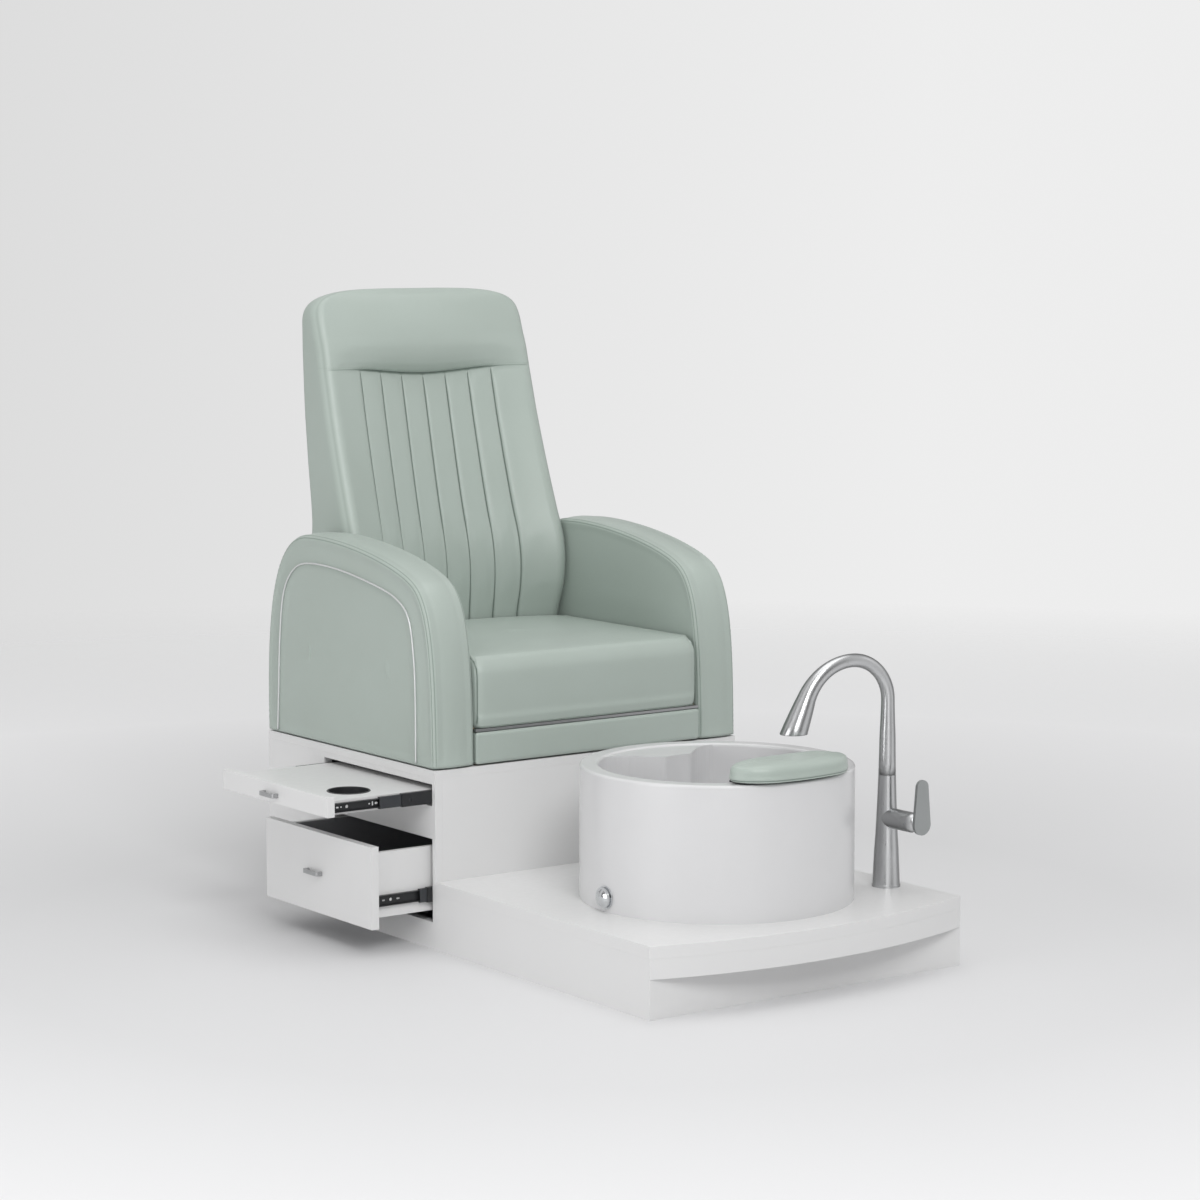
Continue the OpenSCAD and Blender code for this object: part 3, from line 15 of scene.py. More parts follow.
import bmesh
import bpy
import numpy as np
from numpy.typing import NDArray
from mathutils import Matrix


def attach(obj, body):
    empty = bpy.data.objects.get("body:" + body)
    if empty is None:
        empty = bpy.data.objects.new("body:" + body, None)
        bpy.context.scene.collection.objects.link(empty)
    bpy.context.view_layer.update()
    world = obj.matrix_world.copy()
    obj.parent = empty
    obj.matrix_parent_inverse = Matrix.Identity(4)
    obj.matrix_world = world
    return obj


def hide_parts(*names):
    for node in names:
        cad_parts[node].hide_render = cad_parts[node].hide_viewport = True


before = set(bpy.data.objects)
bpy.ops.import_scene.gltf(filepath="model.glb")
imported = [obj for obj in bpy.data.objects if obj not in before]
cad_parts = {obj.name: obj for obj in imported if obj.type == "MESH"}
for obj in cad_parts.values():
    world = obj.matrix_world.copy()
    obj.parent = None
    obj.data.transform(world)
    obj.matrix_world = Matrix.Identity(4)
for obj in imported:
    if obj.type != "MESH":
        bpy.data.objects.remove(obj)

Array = NDArray[np.float64]
Socket = bpy.types.NodeSocket
Thing = bpy.types.Object
Point = tuple[float, float, float]
Knots = list[tuple[float, float]]

MM = 0.001
LOG = logging.getLogger("spa_chair")


# ---- Curves ------------------------------------------------------------------


def ease(t: Array) -> Array:
    """Soft step from 0 to 1: u squared times (3 - 2 u), with u = t held to 0-1."""
    u = np.clip(t, 0, 1)
    return u * u * (3 - 2 * u)


def hump(d: Array, width: float) -> Array:
    """Bell over a distance d: e to the power of minus (d / width) squared."""
    return np.exp(-(np.asarray(d) / width) ** 2)


def through(at: Array, values: Array, x: Array) -> Array:
    """Smooth curve through knots, read at x.

    Each span is a cubic whose end slopes are the chords between the neighbours
    of its knots.  Past the first and last knot the curve stays level.

    Args:
        at: places of the knots, rising.
        values: value at each knot, along the first axis.
        x: places to read.

    Returns:
        The values at x, with the further axes that values has.
    """
    at, values = np.asarray(at, float), np.asarray(values, float)
    n = len(at)
    low, high = np.maximum(np.arange(n) - 1, 0), np.minimum(np.arange(n) + 1, n - 1)
    tail = (1,) * (values.ndim - 1)
    slope = (values[high] - values[low]) / (at[high] - at[low]).reshape((-1, *tail))
    x = np.clip(np.asarray(x, float), at[0], at[-1])
    i = np.clip(np.searchsorted(at, x, side="right") - 1, 0, n - 2)
    d = (at[i + 1] - at[i]).reshape((*x.shape, *tail))
    t = (x - at[i]).reshape((*x.shape, *tail)) / d
    return ((2 * t ** 3 - 3 * t ** 2 + 1) * values[i] + (t ** 3 - 2 * t ** 2 + t) * d * slope[i]
            + (3 * t ** 2 - 2 * t ** 3) * values[i + 1] + (t ** 3 - t ** 2) * d * slope[i + 1])


def knots(table: Knots, x: Array, start: float, span: float) -> Array:
    """Curve through [share, value] knots whose shares are spread from start over span."""
    k = np.asarray(table, float)
    return through(start + k[:, 0] * span, k[:, 1], x)


def bezier(p: Array, t: Array) -> Array:
    """Cubic curve with four control points p, at each t from 0 to 1."""
    p, t = np.asarray(p, float), np.asarray(t, float)[..., None]
    return (1 - t) ** 3 * p[0] + 3 * t * (1 - t) ** 2 * p[1] + 3 * t * t * (1 - t) * p[2] + t ** 3 * p[3]


def arc(centre: tuple[float, float], r: float, a0: float, a1: float, n: int) -> Array:
    """Points of a circle of radius r about a centre, from angle a0 to a1 in degrees."""
    a = np.radians(np.linspace(a0, a1, n + 1))[:, None]
    return np.asarray(centre, float) + r * np.hstack([np.cos(a), np.sin(a)])


def along(path: Array, step: float) -> tuple[Array, Array]:
    """Evenly spaced points of a path.

    Args:
        path: points (n, 3) of an open path.
        step: distance between the new points.

    Returns:
        The new points and the path's direction at each.
    """
    run = np.concatenate([[0], np.cumsum(np.linalg.norm(np.diff(path, axis=0), axis=1))])
    keep = np.concatenate([[True], np.diff(run) > 1e-6])
    at = np.linspace(0, run[-1], max(2, int(run[-1] / step) + 1))
    points = through(run[keep], path[keep], at)
    heading = np.gradient(points, axis=0)
    return points, heading / np.linalg.norm(heading, axis=1, keepdims=True)


# ---- Meshes ------------------------------------------------------------------


def normals(grid: Array) -> Array:
    """Outward unit direction at each point of a grid whose last column meets its first.

    It is the cross product of the grid's steps along its columns and rows,
    turned away from the grid's middle.

    Args:
        grid: points (rows, columns, 3).

    Returns:
        Directions (rows, columns, 3), zero where the grid closes to a point.
    """
    across = np.roll(grid, -1, axis=1) - np.roll(grid, 1, axis=1)
    n = np.cross(across, np.gradient(grid, axis=0))
    size = np.linalg.norm(n, axis=2, keepdims=True)
    n = np.where(size > 1e-9, n / np.maximum(size, 1e-9), 0)
    outward = np.sum(n * (grid - grid.mean(axis=(0, 1))))
    return n if outward > 0 else -n


def skin(name: str, grids: list[Array], marks: list[Array] | None = None,
         merged: bool = True) -> Thing:
    """Mesh over one or more grids of points: four neighbours make a quad.

    Args:
        name: the new object's name.
        grids: points (rows, columns, 3) in millimetres, whose last column meets their first.
        marks: value of the attribute "seam" at each grid's points.
        merged: whether points that fall together become one.

    Returns:
        The new object, smooth shaded, with its faces pointing outwards.
    """
    points, faces, base = [], [], 0
    for grid in grids:
        index = base + np.arange(grid.shape[0] * grid.shape[1]).reshape(grid.shape[:2])
        beside = np.roll(index, -1, axis=1)
        faces.append(np.stack([index[:-1], beside[:-1], beside[1:], index[1:]], axis=-1).reshape(-1, 4))
        points.append(grid.reshape(-1, 3))
        base += index.size
    mark = np.concatenate([m.ravel() for m in marks]) if marks else np.zeros(base)
    return mesh_object(name, np.concatenate(points), np.concatenate(faces), mark, merged)


def mesh_object(name: str, points: Array, quads: Array, mark: Array, merged: bool) -> Thing:
    """Object with a mesh of quads.

    Args:
        name: the new object's name.
        points: places (n, 3) in millimetres.
        quads: the four points of each face.
        mark: value of the attribute "seam" at each point.
        merged: whether points that fall together become one.

    Returns:
        The new object in the scene.
    """
    mesh = bpy.data.meshes.new(name)
    mesh.vertices.add(len(points))
    mesh.vertices.foreach_set("co", (points * MM).astype(np.float32).ravel())
    mesh.loops.add(quads.size)
    mesh.loops.foreach_set("vertex_index", quads.astype(np.int32).ravel())
    mesh.polygons.add(len(quads))
    mesh.polygons.foreach_set("loop_start", np.arange(0, quads.size, 4, dtype=np.int32))
    mesh.attributes.new("seam", "FLOAT", "POINT").data.foreach_set("value", mark.astype(np.float32))
    mesh.update(calc_edges=True)
    if merged:
        work = bmesh.new()
        work.from_mesh(mesh)
        bmesh.ops.remove_doubles(work, verts=work.verts, dist=1e-6)
        bmesh.ops.recalc_face_normals(work, faces=work.faces)
        work.to_mesh(mesh)
        work.free()
    mesh.polygons.foreach_set("use_smooth", np.ones(len(mesh.polygons), bool))
    thing = bpy.data.objects.new(name, mesh)
    bpy.context.scene.collection.objects.link(thing)
    return thing


def tube(path: Array, radii: Array, side: Array, sides: int = 20) -> Array:
    """Grid of a round tube with closed ends along a path in one plane.

    Each ring is the path's point plus its radius times (cosine of the turn
    along the in-plane normal plus sine of the turn along the plane's own).

    Args:
        path: points (n, 3) of the centre line.
        radii: radius at each point.
        side: the plane's normal.
        sides: points around the tube.

    Returns:
        The grid, with a pole at each end.
    """
    heading = np.gradient(path, axis=0)
    heading /= np.linalg.norm(heading, axis=1, keepdims=True)
    inner = np.cross(heading, side)
    turn = np.linspace(0, 2 * np.pi, sides, endpoint=False)[None, :, None]
    rings = path[:, None] + np.asarray(radii)[:, None, None] * (
        np.cos(turn) * inner[:, None] + np.sin(turn) * np.cross(heading, inner)[:, None])
    return np.concatenate([np.repeat(path[:1, None], sides, axis=1), rings,
                           np.repeat(path[-1:, None], sides, axis=1)])


def disc(radii: Array, sides: int = 96) -> Array:
    """Grid of a flat disc at height 0, with a ring of points at each radius.

    Args:
        radii: radius of each ring in millimetres.
        sides: points around.

    Returns:
        Points (rings, sides, 3).
    """
    turn = np.linspace(0, 2 * np.pi, sides, endpoint=False)
    rings = radii[:, None] * np.stack([np.cos(turn), np.sin(turn), 0 * turn])[:, None]
    return np.moveaxis(rings, 0, -1)


def swell(name: str, grid: Array, held: Array, fill: float, cap: float, pressure: float = 4.0,
          frames: int = 20, levels: int = 8) -> Array:
    """How far the points of a cover move when its pad is filled.

    The cover starts slack, a little inside its form where it isn't held.  It
    is simulated as cloth under an even pressure, and no point may move further
    from its slack place than the cap.

    Args:
        name: name for the passing cloth object.
        grid: points (rows, columns, 3) of the cover's form in millimetres.
        held: how firmly each point is held, 0 to 1.
        fill: how far inside its form the slack cover starts, in millimetres.
        cap: furthest move in millimetres.
        pressure: the filling's pressure.
        frames: length of the simulation.
        levels: number of steps in which a point can be held.

    Returns:
        The moves (rows, columns, 3) from the form, in millimetres.
    """
    slack = grid - normals(grid) * fill * (1 - held[..., None])
    cover = skin(name, [slack], merged=False)
    group = cover.vertex_groups.new(name="held")
    level = np.round(held.ravel() * levels) / levels
    for value in np.unique(level):
        group.add(np.flatnonzero(level == value).tolist(), float(value), "REPLACE")
    cloth = cover.modifiers.new("Cloth", "CLOTH")
    cloth.settings.quality = 5
    cloth.settings.use_pressure = True
    cloth.settings.uniform_pressure_force = pressure
    cloth.settings.vertex_group_mass = "held"
    cloth.settings.effector_weights.gravity = 0
    cloth.collision_settings.use_collision = False
    cloth.point_cache.frame_start, cloth.point_cache.frame_end = 1, frames
    for number in range(1, frames + 1):
        bpy.context.scene.frame_set(number)
    filled = cover.evaluated_get(bpy.context.evaluated_depsgraph_get()).to_mesh()
    places = np.empty(len(filled.vertices) * 3, np.float32)
    filled.vertices.foreach_get("co", places)
    mesh = cover.data
    bpy.data.objects.remove(cover)
    bpy.data.meshes.remove(mesh)
    bpy.context.scene.frame_set(1)
    move = places.reshape(grid.shape) / MM - slack
    far = np.linalg.norm(move, axis=2, keepdims=True)
    LOG.info("%s: moved %.1f mm at most, %.1f mm on average", name, far.max(), far.mean())
    return slack + move * np.minimum(1, cap / np.maximum(far, 1e-6)) - grid


def spread(values: Array, rows: tuple[Array, Array], columns: tuple[Array, Array]) -> Array:
    """Values of a coarse grid read smoothly at a finer grid's rows and columns.

    Args:
        values: values (rows, columns, 3) of a grid whose last column meets its first.
        rows: place of each coarse row, and the places to read.
        columns: place of each coarse column and of the first one again, and the places to read.

    Returns:
        The values at the places to read.
    """
    by_row = through(rows[0], np.concatenate([values, values[:, :1]], axis=1), rows[1])
    return np.swapaxes(through(columns[0], np.swapaxes(by_row, 0, 1), columns[1]), 0, 1)


def thread(name: str, lines: list[tuple[Array, Array]], pitch: float = 5.2,
           length: float = 3.6, r: float = 0.38) -> Thing:
    """Sewn stitches along lines, each a small capsule of thread.

    Args:
        name: the new object's name.
        lines: points and outward directions of each line.
        pitch: distance from stitch to stitch.
        length: length of a stitch.
        r: radius of the thread.

    Returns:
        The stitches as one object.
    """
    turn = np.linspace(0, 2 * np.pi, 6, endpoint=False)
    share = np.array([-0.5, -0.32, 0, 0.32, 0.5])
    girth = np.array([0, 0.8, 1, 0.8, 0])
    sink = np.array([0.9, 0.2, -0.3, 0.2, 0.9])
    grids = []
    for path, out in lines:
        middles, heading = along(path, pitch)
        near = np.linspace(0, len(out) - 1, len(middles)).astype(int)
        up = out[near] - np.sum(out[near] * heading, axis=1, keepdims=True) * heading
        up /= np.maximum(np.linalg.norm(up, axis=1, keepdims=True), 1e-6)
        side = np.cross(heading, up)
        ring = (share[None, :, None, None] * length * heading[:, None, None]
                + r * girth[None, :, None, None] * (
                    np.cos(turn)[None, None, :, None] * side[:, None, None]
                    + np.sin(turn)[None, None, :, None] * up[:, None, None])
                - r * sink[None, :, None, None] * up[:, None, None])
        grids.extend(middles[:, None, None] + ring)
    return skin(name, grids)


def distance_to(points: Array, line: Array) -> Array:
    """Distance of each point (..., 2) from a line of points (n, 2).

    The nearest place of every segment is its start plus its share, held to
    0-1, of the way to its end; the least of those distances is kept.

    Args:
        points: the points (..., 2).
        line: the line.

    Returns:
        The distances.
    """
    a, b = line[:-1], line[1:]
    flat = points.reshape(-1, 1, 2)
    share = np.sum((flat - a) * (b - a), axis=2) / np.maximum(np.sum((b - a) ** 2, axis=1), 1e-9)
    near = a + np.clip(share, 0, 1)[..., None] * (b - a)
    return np.min(np.linalg.norm(flat - near, axis=2), axis=1).reshape(points.shape[:-1])


# ---- Shader groups -----------------------------------------------------------


class Graph:
    """Terse writer of shader nodes in one node tree."""

    def __init__(self, tree: bpy.types.NodeTree) -> None:
        """Start writing in a tree."""
        self.tree = tree

    def add(self, kind: str, feeds: dict[str | int, Any] | None = None, out: str | int = 0,
            **settings: Any) -> Socket:
        """Add a node.

        Args:
            kind: the node's type, without its leading ShaderNode.
            feeds: value or socket for each input, by name or number.
            out: the output to return.
            **settings: properties of the node.

        Returns:
            The chosen output socket.
        """
        node = self.tree.nodes.new("ShaderNode" + kind)
        for key, value in settings.items():
            setattr(node, key, value)
        for key, value in (feeds or {}).items():
            if isinstance(value, Socket):
                self.link(value, node.inputs[key])
            else:
                node.inputs[key].default_value = value
        return node.outputs[out]

    def link(self, value: Socket, socket: Socket) -> None:
        """Lead a value to a node's input."""
        self.tree.links.new(value, socket)

    def math(self, operation: str, *values: Any) -> Socket:
        """Add a Math node over values or sockets."""
        return self.add("Math", dict(enumerate(values)), operation=operation)

    def fit(self, value: Socket, low: float, high: float, to_low: float, to_high: float) -> Socket:
        """Map a value from one range onto another, held at its ends."""
        return self.add("MapRange", {"Value": value, "From Min": low, "From Max": high,
                                     "To Min": to_low, "To Max": to_high})


class Effect(Enum):
    """Surface effects that several finishes share, each one node group."""

    GRAIN = "leather_grain"
    CLOUDS = "colour_clouds"
    BRUSHED = "brushed_streaks"
    DUST = "settled_dust"
    PEEL = "orange_peel"
    VENEER = "wood_veneer"


class Effects:
    """The node groups of the shared effects, built once."""

    KINDS = {"float": "NodeSocketFloat", "colour": "NodeSocketColor", "vector": "NodeSocketVector"}

    def __init__(self) -> None:
        """Build every group."""
        self.groups: dict[Effect, bpy.types.NodeTree] = {}
        for build in (self.grain, self.clouds, self.brushed, self.dust, self.peel, self.veneer):
            build()

    def begin(self, effect: Effect, inputs: dict[str, str], outputs: dict[str, str]
              ) -> tuple[Graph, bpy.types.NodeOutputs, bpy.types.Node]:
        """Start a group.

        Args:
            effect: the effect, whose value names the group.
            inputs: kind of each named input.
            outputs: kind of each named output.

        Returns:
            A graph in the group, its input sockets and its output node.
        """
        tree = bpy.data.node_groups.new(effect.value, "ShaderNodeTree")
        self.groups[effect] = tree
        for name, kind in inputs.items():
            tree.interface.new_socket(name, in_out="INPUT", socket_type=self.KINDS[kind])
        for name, kind in outputs.items():
            tree.interface.new_socket(name, in_out="OUTPUT", socket_type=self.KINDS[kind])
        entry, end = tree.nodes.new("NodeGroupInput"), tree.nodes.new("NodeGroupOutput")
        return Graph(tree), entry.outputs, end

    def grain(self) -> None:
        """Pebbled leather: rounded cells between fine creases, over slow swells."""
        graph, given, end = self.begin(Effect.GRAIN, {"Vector": "vector", "Cell": "float"},
                                       {"Height": "float", "Crease": "float"})
        scale = graph.math("DIVIDE", 1.0, given["Cell"])
        warp = graph.add("TexNoise", {"Vector": given["Vector"], "Scale": 260.0, "Detail": 2.0}, "Color")
        bent = graph.add("VectorMath", {0: warp, "Scale": 0.0016}, operation="SCALE")
        warped = graph.add("VectorMath", {0: given["Vector"], 1: bent}, operation="ADD")
        cell = graph.add("TexVoronoi", {"Vector": warped, "Scale": scale, "Smoothness": 0.4},
                         "Distance", feature="SMOOTH_F1")
        edge = graph.add("TexVoronoi", {"Vector": warped, "Scale": scale}, "Distance",
                         feature="DISTANCE_TO_EDGE")
        crease = graph.fit(edge, 0.0, 0.12, 1.0, 0.0)
        slow = graph.add("TexNoise", {"Vector": given["Vector"], "Scale": 55.0, "Detail": 3.0})
        pebble = graph.math("MULTIPLY_ADD", cell, -0.7, slow)
        height = graph.math("MULTIPLY_ADD", crease, -0.45, pebble)
        graph.link(height, end.inputs["Height"])
        graph.link(crease, end.inputs["Crease"])

    def clouds(self) -> None:
        """Slow drift of a colour's brightness and hue over the surface."""
        graph, given, end = self.begin(
            Effect.CLOUDS, {"Colour": "colour", "Vector": "vector", "Size": "float", "Amount": "float"},
            {"Colour": "colour"})
        scale = graph.math("DIVIDE", 1.0, given["Size"])
        noise = graph.add("TexNoise", {"Vector": given["Vector"], "Scale": scale, "Detail": 4.0,
                                       "Roughness": 0.55})
        fine = graph.add("TexNoise", {"Vector": given["Vector"], "Scale": 900.0, "Detail": 1.0})
        both = graph.math("MULTIPLY_ADD", fine, 0.35, noise)
        offset = graph.math("SUBTRACT", both, 0.675)
        value = graph.math("MULTIPLY_ADD", offset, given["Amount"], 1.0)
        hue = graph.math("MULTIPLY_ADD", offset, 0.02, 0.5)
        colour = graph.add("HueSaturation", {"Hue": hue, "Value": value, "Color": given["Colour"]})
        graph.link(colour, end.inputs["Colour"])

    def brushed(self) -> None:
        """Fine scratches drawn out along one axis by a stretched noise."""
        graph, given, end = self.begin(Effect.BRUSHED, {"Vector": "vector", "Stretch": "vector"},
                                       {"Height": "float", "Streak": "float"})
        drawn = graph.add("VectorMath", {0: given["Vector"], 1: given["Stretch"]}, operation="MULTIPLY")
        fine = graph.add("TexNoise", {"Vector": drawn, "Scale": 1.0, "Detail": 5.0, "Roughness": 0.7})
        wide = graph.add("TexNoise", {"Vector": drawn, "Scale": 0.17, "Detail": 2.0})
        graph.link(fine, end.inputs["Height"])
        graph.link(graph.math("MULTIPLY_ADD", wide, 0.6, graph.math("MULTIPLY", fine, 0.4)),
                   end.inputs["Streak"])

    def dust(self) -> None:
        """Thin film of dust where the surface faces up, broken by noise."""
        graph, given, end = self.begin(Effect.DUST, {"Vector": "vector", "Amount": "float"},
                                       {"Mask": "float"})
        facing = graph.add("NewGeometry", out="Normal")
        up = graph.fit(graph.add("SeparateXYZ", {0: facing}, 2), 0.3, 1.0, 0.0, 1.0)
        noise = graph.add("TexNoise", {"Vector": given["Vector"], "Scale": 14.0, "Detail": 6.0,
                                       "Roughness": 0.62})
        patch = graph.fit(noise, 0.38, 0.72, 0.0, 1.0)
        mask = graph.math("MULTIPLY", graph.math("MULTIPLY", up, patch), given["Amount"])
        graph.link(mask, end.inputs["Mask"])

    def peel(self) -> None:
        """Orange peel: the slight waviness of a sprayed or moulded skin."""
        graph, given, end = self.begin(Effect.PEEL, {"Vector": "vector", "Size": "float"},
                                       {"Height": "float", "Mask": "float"})
        scale = graph.math("DIVIDE", 1.0, given["Size"])
        wave = graph.add("TexNoise", {"Vector": given["Vector"], "Scale": scale, "Detail": 1.5})
        speck = graph.add("TexNoise", {"Vector": given["Vector"], "Scale": 1400.0, "Detail": 1.0})
        graph.link(graph.math("MULTIPLY_ADD", speck, 0.12, wave), end.inputs["Height"])
        graph.link(graph.fit(wave, 0.35, 0.65, 0.0, 1.0), end.inputs["Mask"])

    def veneer(self) -> None:
        """Growth lines of a peeled veneer along one axis."""
        graph, given, end = self.begin(Effect.VENEER, {"Vector": "vector", "Stretch": "vector"},
                                       {"Line": "float", "Pore": "float"})
        drawn = graph.add("VectorMath", {0: given["Vector"], 1: given["Stretch"]}, operation="MULTIPLY")
        swirl = graph.add("TexNoise", {"Vector": drawn, "Scale": 1.0, "Detail": 3.0})
        line = graph.add("TexWave", {"Vector": drawn, "Scale": 1.6, "Distortion": 5.0, "Detail": 3.0},
                         "Fac")
        pore = graph.add("TexNoise", {"Vector": drawn, "Scale": 9.0, "Detail": 2.0})
        graph.link(graph.math("MULTIPLY_ADD", line, 0.6, graph.math("MULTIPLY", swirl, 0.4)),
                   end.inputs["Line"])
        graph.link(graph.fit(pore, 0.55, 0.75, 0.0, 1.0), end.inputs["Pore"])


EFFECTS = Effects()


# ---- Finishes ----------------------------------------------------------------


DUST = "CBCBC9"


def tint(hex_colour: str) -> tuple[float, float, float, float]:
    """Linear colour of a six-digit hexadecimal display colour.

    Args:
        hex_colour: the display colour.

    Returns:
        Red, green, blue and an alpha of 1.
    """
    display = np.array([int(hex_colour[k:k + 2], 16) / 255 for k in (0, 2, 4)])
    linear = np.where(display <= 0.04045, display / 12.92, ((display + 0.055) / 1.055) ** 2.4)
    return (*(float(v) for v in linear), 1.0)


@dataclass(frozen=True)
class Finish:
    """A surface finish: what every kind of surface has in common."""

    name: str
    slot: str
    colour: str
    roughness: float = 0.4
    metallic: float = 0.0
    coat: float = 0.0

    @lru_cache(maxsize=None)
    def material(self) -> bpy.types.Material:
        """The finish's material, made the first time it is asked for.

        Returns:
            The material.
        """
        made = bpy.data.materials.new(self.name)
        made.use_nodes = True
        made.diffuse_color = tint(self.colour)
        made.metallic, made.roughness = self.metallic, self.roughness
        graph = Graph(made.node_tree)
        shader = made.node_tree.nodes["Principled BSDF"]
        shader.inputs["Metallic"].default_value = self.metallic
        shader.inputs["Coat Weight"].default_value = self.coat
        shader.inputs["Coat Roughness"].default_value = 0.3
        self.surface(graph, graph.add("TexCoord", out="Object"), shader)
        return made

    def surface(self, graph: Graph, vector: Socket, shader: bpy.types.Node) -> None:
        """Feed the shader: each kind of finish does this in its own way."""
        raise NotImplementedError

    def effect(self, graph: Graph, effect: Effect, feeds: dict[str, Any], out: str | int = 0) -> Socket:
        """Place a shared effect's group and return one of its outputs."""
        return graph.add("Group", feeds, out, node_tree=EFFECTS.groups[effect])

    def body(self, graph: Graph, vector: Socket, shader: bpy.types.Node, cloud: float,
             cloud_size: float, peel_size: float, depth: float, dust: float) -> None:
        """Colour drift, orange peel, uneven gloss and dust of a painted or moulded skin.

        Args:
            graph: writer in the material's tree.
            vector: the piece's own coordinates.
            shader: the shader to feed.
            cloud: strength of the colour's drift.
            cloud_size: size of its patches in metres.
            peel_size: size of the peel's waves in metres.
            depth: height of the waves in metres.
            dust: amount of dust on faces that look up.
        """
        colour = self.effect(graph, Effect.CLOUDS, {"Colour": tint(self.colour), "Vector": vector,
                                                    "Size": cloud_size, "Amount": cloud})
        height = self.effect(graph, Effect.PEEL, {"Vector": vector, "Size": peel_size}, "Height")
        gloss = self.effect(graph, Effect.PEEL, {"Vector": vector, "Size": peel_size * 9}, "Mask")
        film = self.effect(graph, Effect.DUST, {"Vector": vector, "Amount": dust}, "Mask")
        dusty = graph.add("Mix", {0: film, 6: colour, 7: tint(DUST)}, 2, data_type="RGBA")
        graph.link(dusty, shader.inputs["Base Color"])
        graph.link(graph.fit(gloss, 0, 1, self.roughness * 0.9, self.roughness * 1.12),
                   shader.inputs["Roughness"])
        graph.link(graph.add("Bump", {"Height": height, "Distance": depth, "Strength": 0.6}),
                   shader.inputs["Normal"])


@dataclass(frozen=True)
class Leather(Finish):
    """Smooth upholstery leather with a fine grain, and painted shade in its seams and grain creases."""

    cell: float = 0.0013
    worn: str = "C3CEC5"
    # sewn: colour of the painted shade along the seams and in the grain's creases
    sewn: str = "3A4F43"
    seam_shade: float = 0.8

    def surface(self, graph: Graph, vector: Socket, shader: bpy.types.Node) -> None:
        """Grain height over a drifting colour; the grain's creases and the seams get painted shade and are
        duller.

        Args:
            graph: writer in the material's tree.
            vector: the piece's own coordinates.
            shader: the shader to feed.
        """
        feeds = {"Vector": vector, "Cell": self.cell}
        height = self.effect(graph, Effect.GRAIN, feeds, "Height")
        crease = self.effect(graph, Effect.GRAIN, feeds, "Crease")
        base = self.effect(graph, Effect.CLOUDS, {"Colour": tint(self.colour), "Vector": vector,
                                                  "Size": 0.16, "Amount": 0.09})
        seam = graph.add("Attribute", out="Fac", attribute_name="seam")
        worn = self.effect(graph, Effect.DUST, {"Vector": vector, "Amount": 0.1}, "Mask")
        pale = graph.add("Mix", {0: worn, 6: base, 7: tint(self.worn)}, 2, data_type="RGBA")
        # painted shade: the seams and, faintly, the grain's creases darken the colour towards sewn
        shade = graph.math("MULTIPLY_ADD", crease, 0.05, graph.math("MULTIPLY", seam, self.seam_shade))
        deep = graph.add("Mix", {0: shade, 6: pale, 7: tint(self.sewn)}, 2, data_type="RGBA")
        graph.link(deep, shader.inputs["Base Color"])
        rough = graph.math("MULTIPLY_ADD", crease, 0.08, self.roughness)
        graph.link(graph.math("MULTIPLY_ADD", seam, 0.25, rough), shader.inputs["Roughness"])
        graph.link(graph.add("Bump", {"Height": height, "Distance": 0.00018, "Strength": 0.35}),
                   shader.inputs["Normal"])
        shader.inputs["Sheen Weight"].default_value = 0.06
        shader.inputs["Sheen Roughness"].default_value = 0.4
        shader.inputs["Specular IOR Level"].default_value = 0.62


@dataclass(frozen=True)
class Laminate(Finish):
    """Satin white board: a pressed laminate with a very slight texture."""

    def surface(self, graph: Graph, vector: Socket, shader: bpy.types.Node) -> None:
        """Painted skin with faint handling marks and a little dust."""
        self.body(graph, vector, shader, cloud=0.035, cloud_size=0.35, peel_size=0.0016,
                  depth=0.00003, dust=0.10)


@dataclass(frozen=True)
class Moulded(Finish):
    """Moulded or cast skin: acrylic, plastic, rubber or paint."""

    peel: float = 0.004
    depth: float = 0.00006

    def surface(self, graph: Graph, vector: Socket, shader: bpy.types.Node) -> None:
        """Drifting colour over a soft orange peel."""
        self.body(graph, vector, shader, cloud=0.06, cloud_size=0.12, peel_size=self.peel,
                  depth=self.depth, dust=0.07)


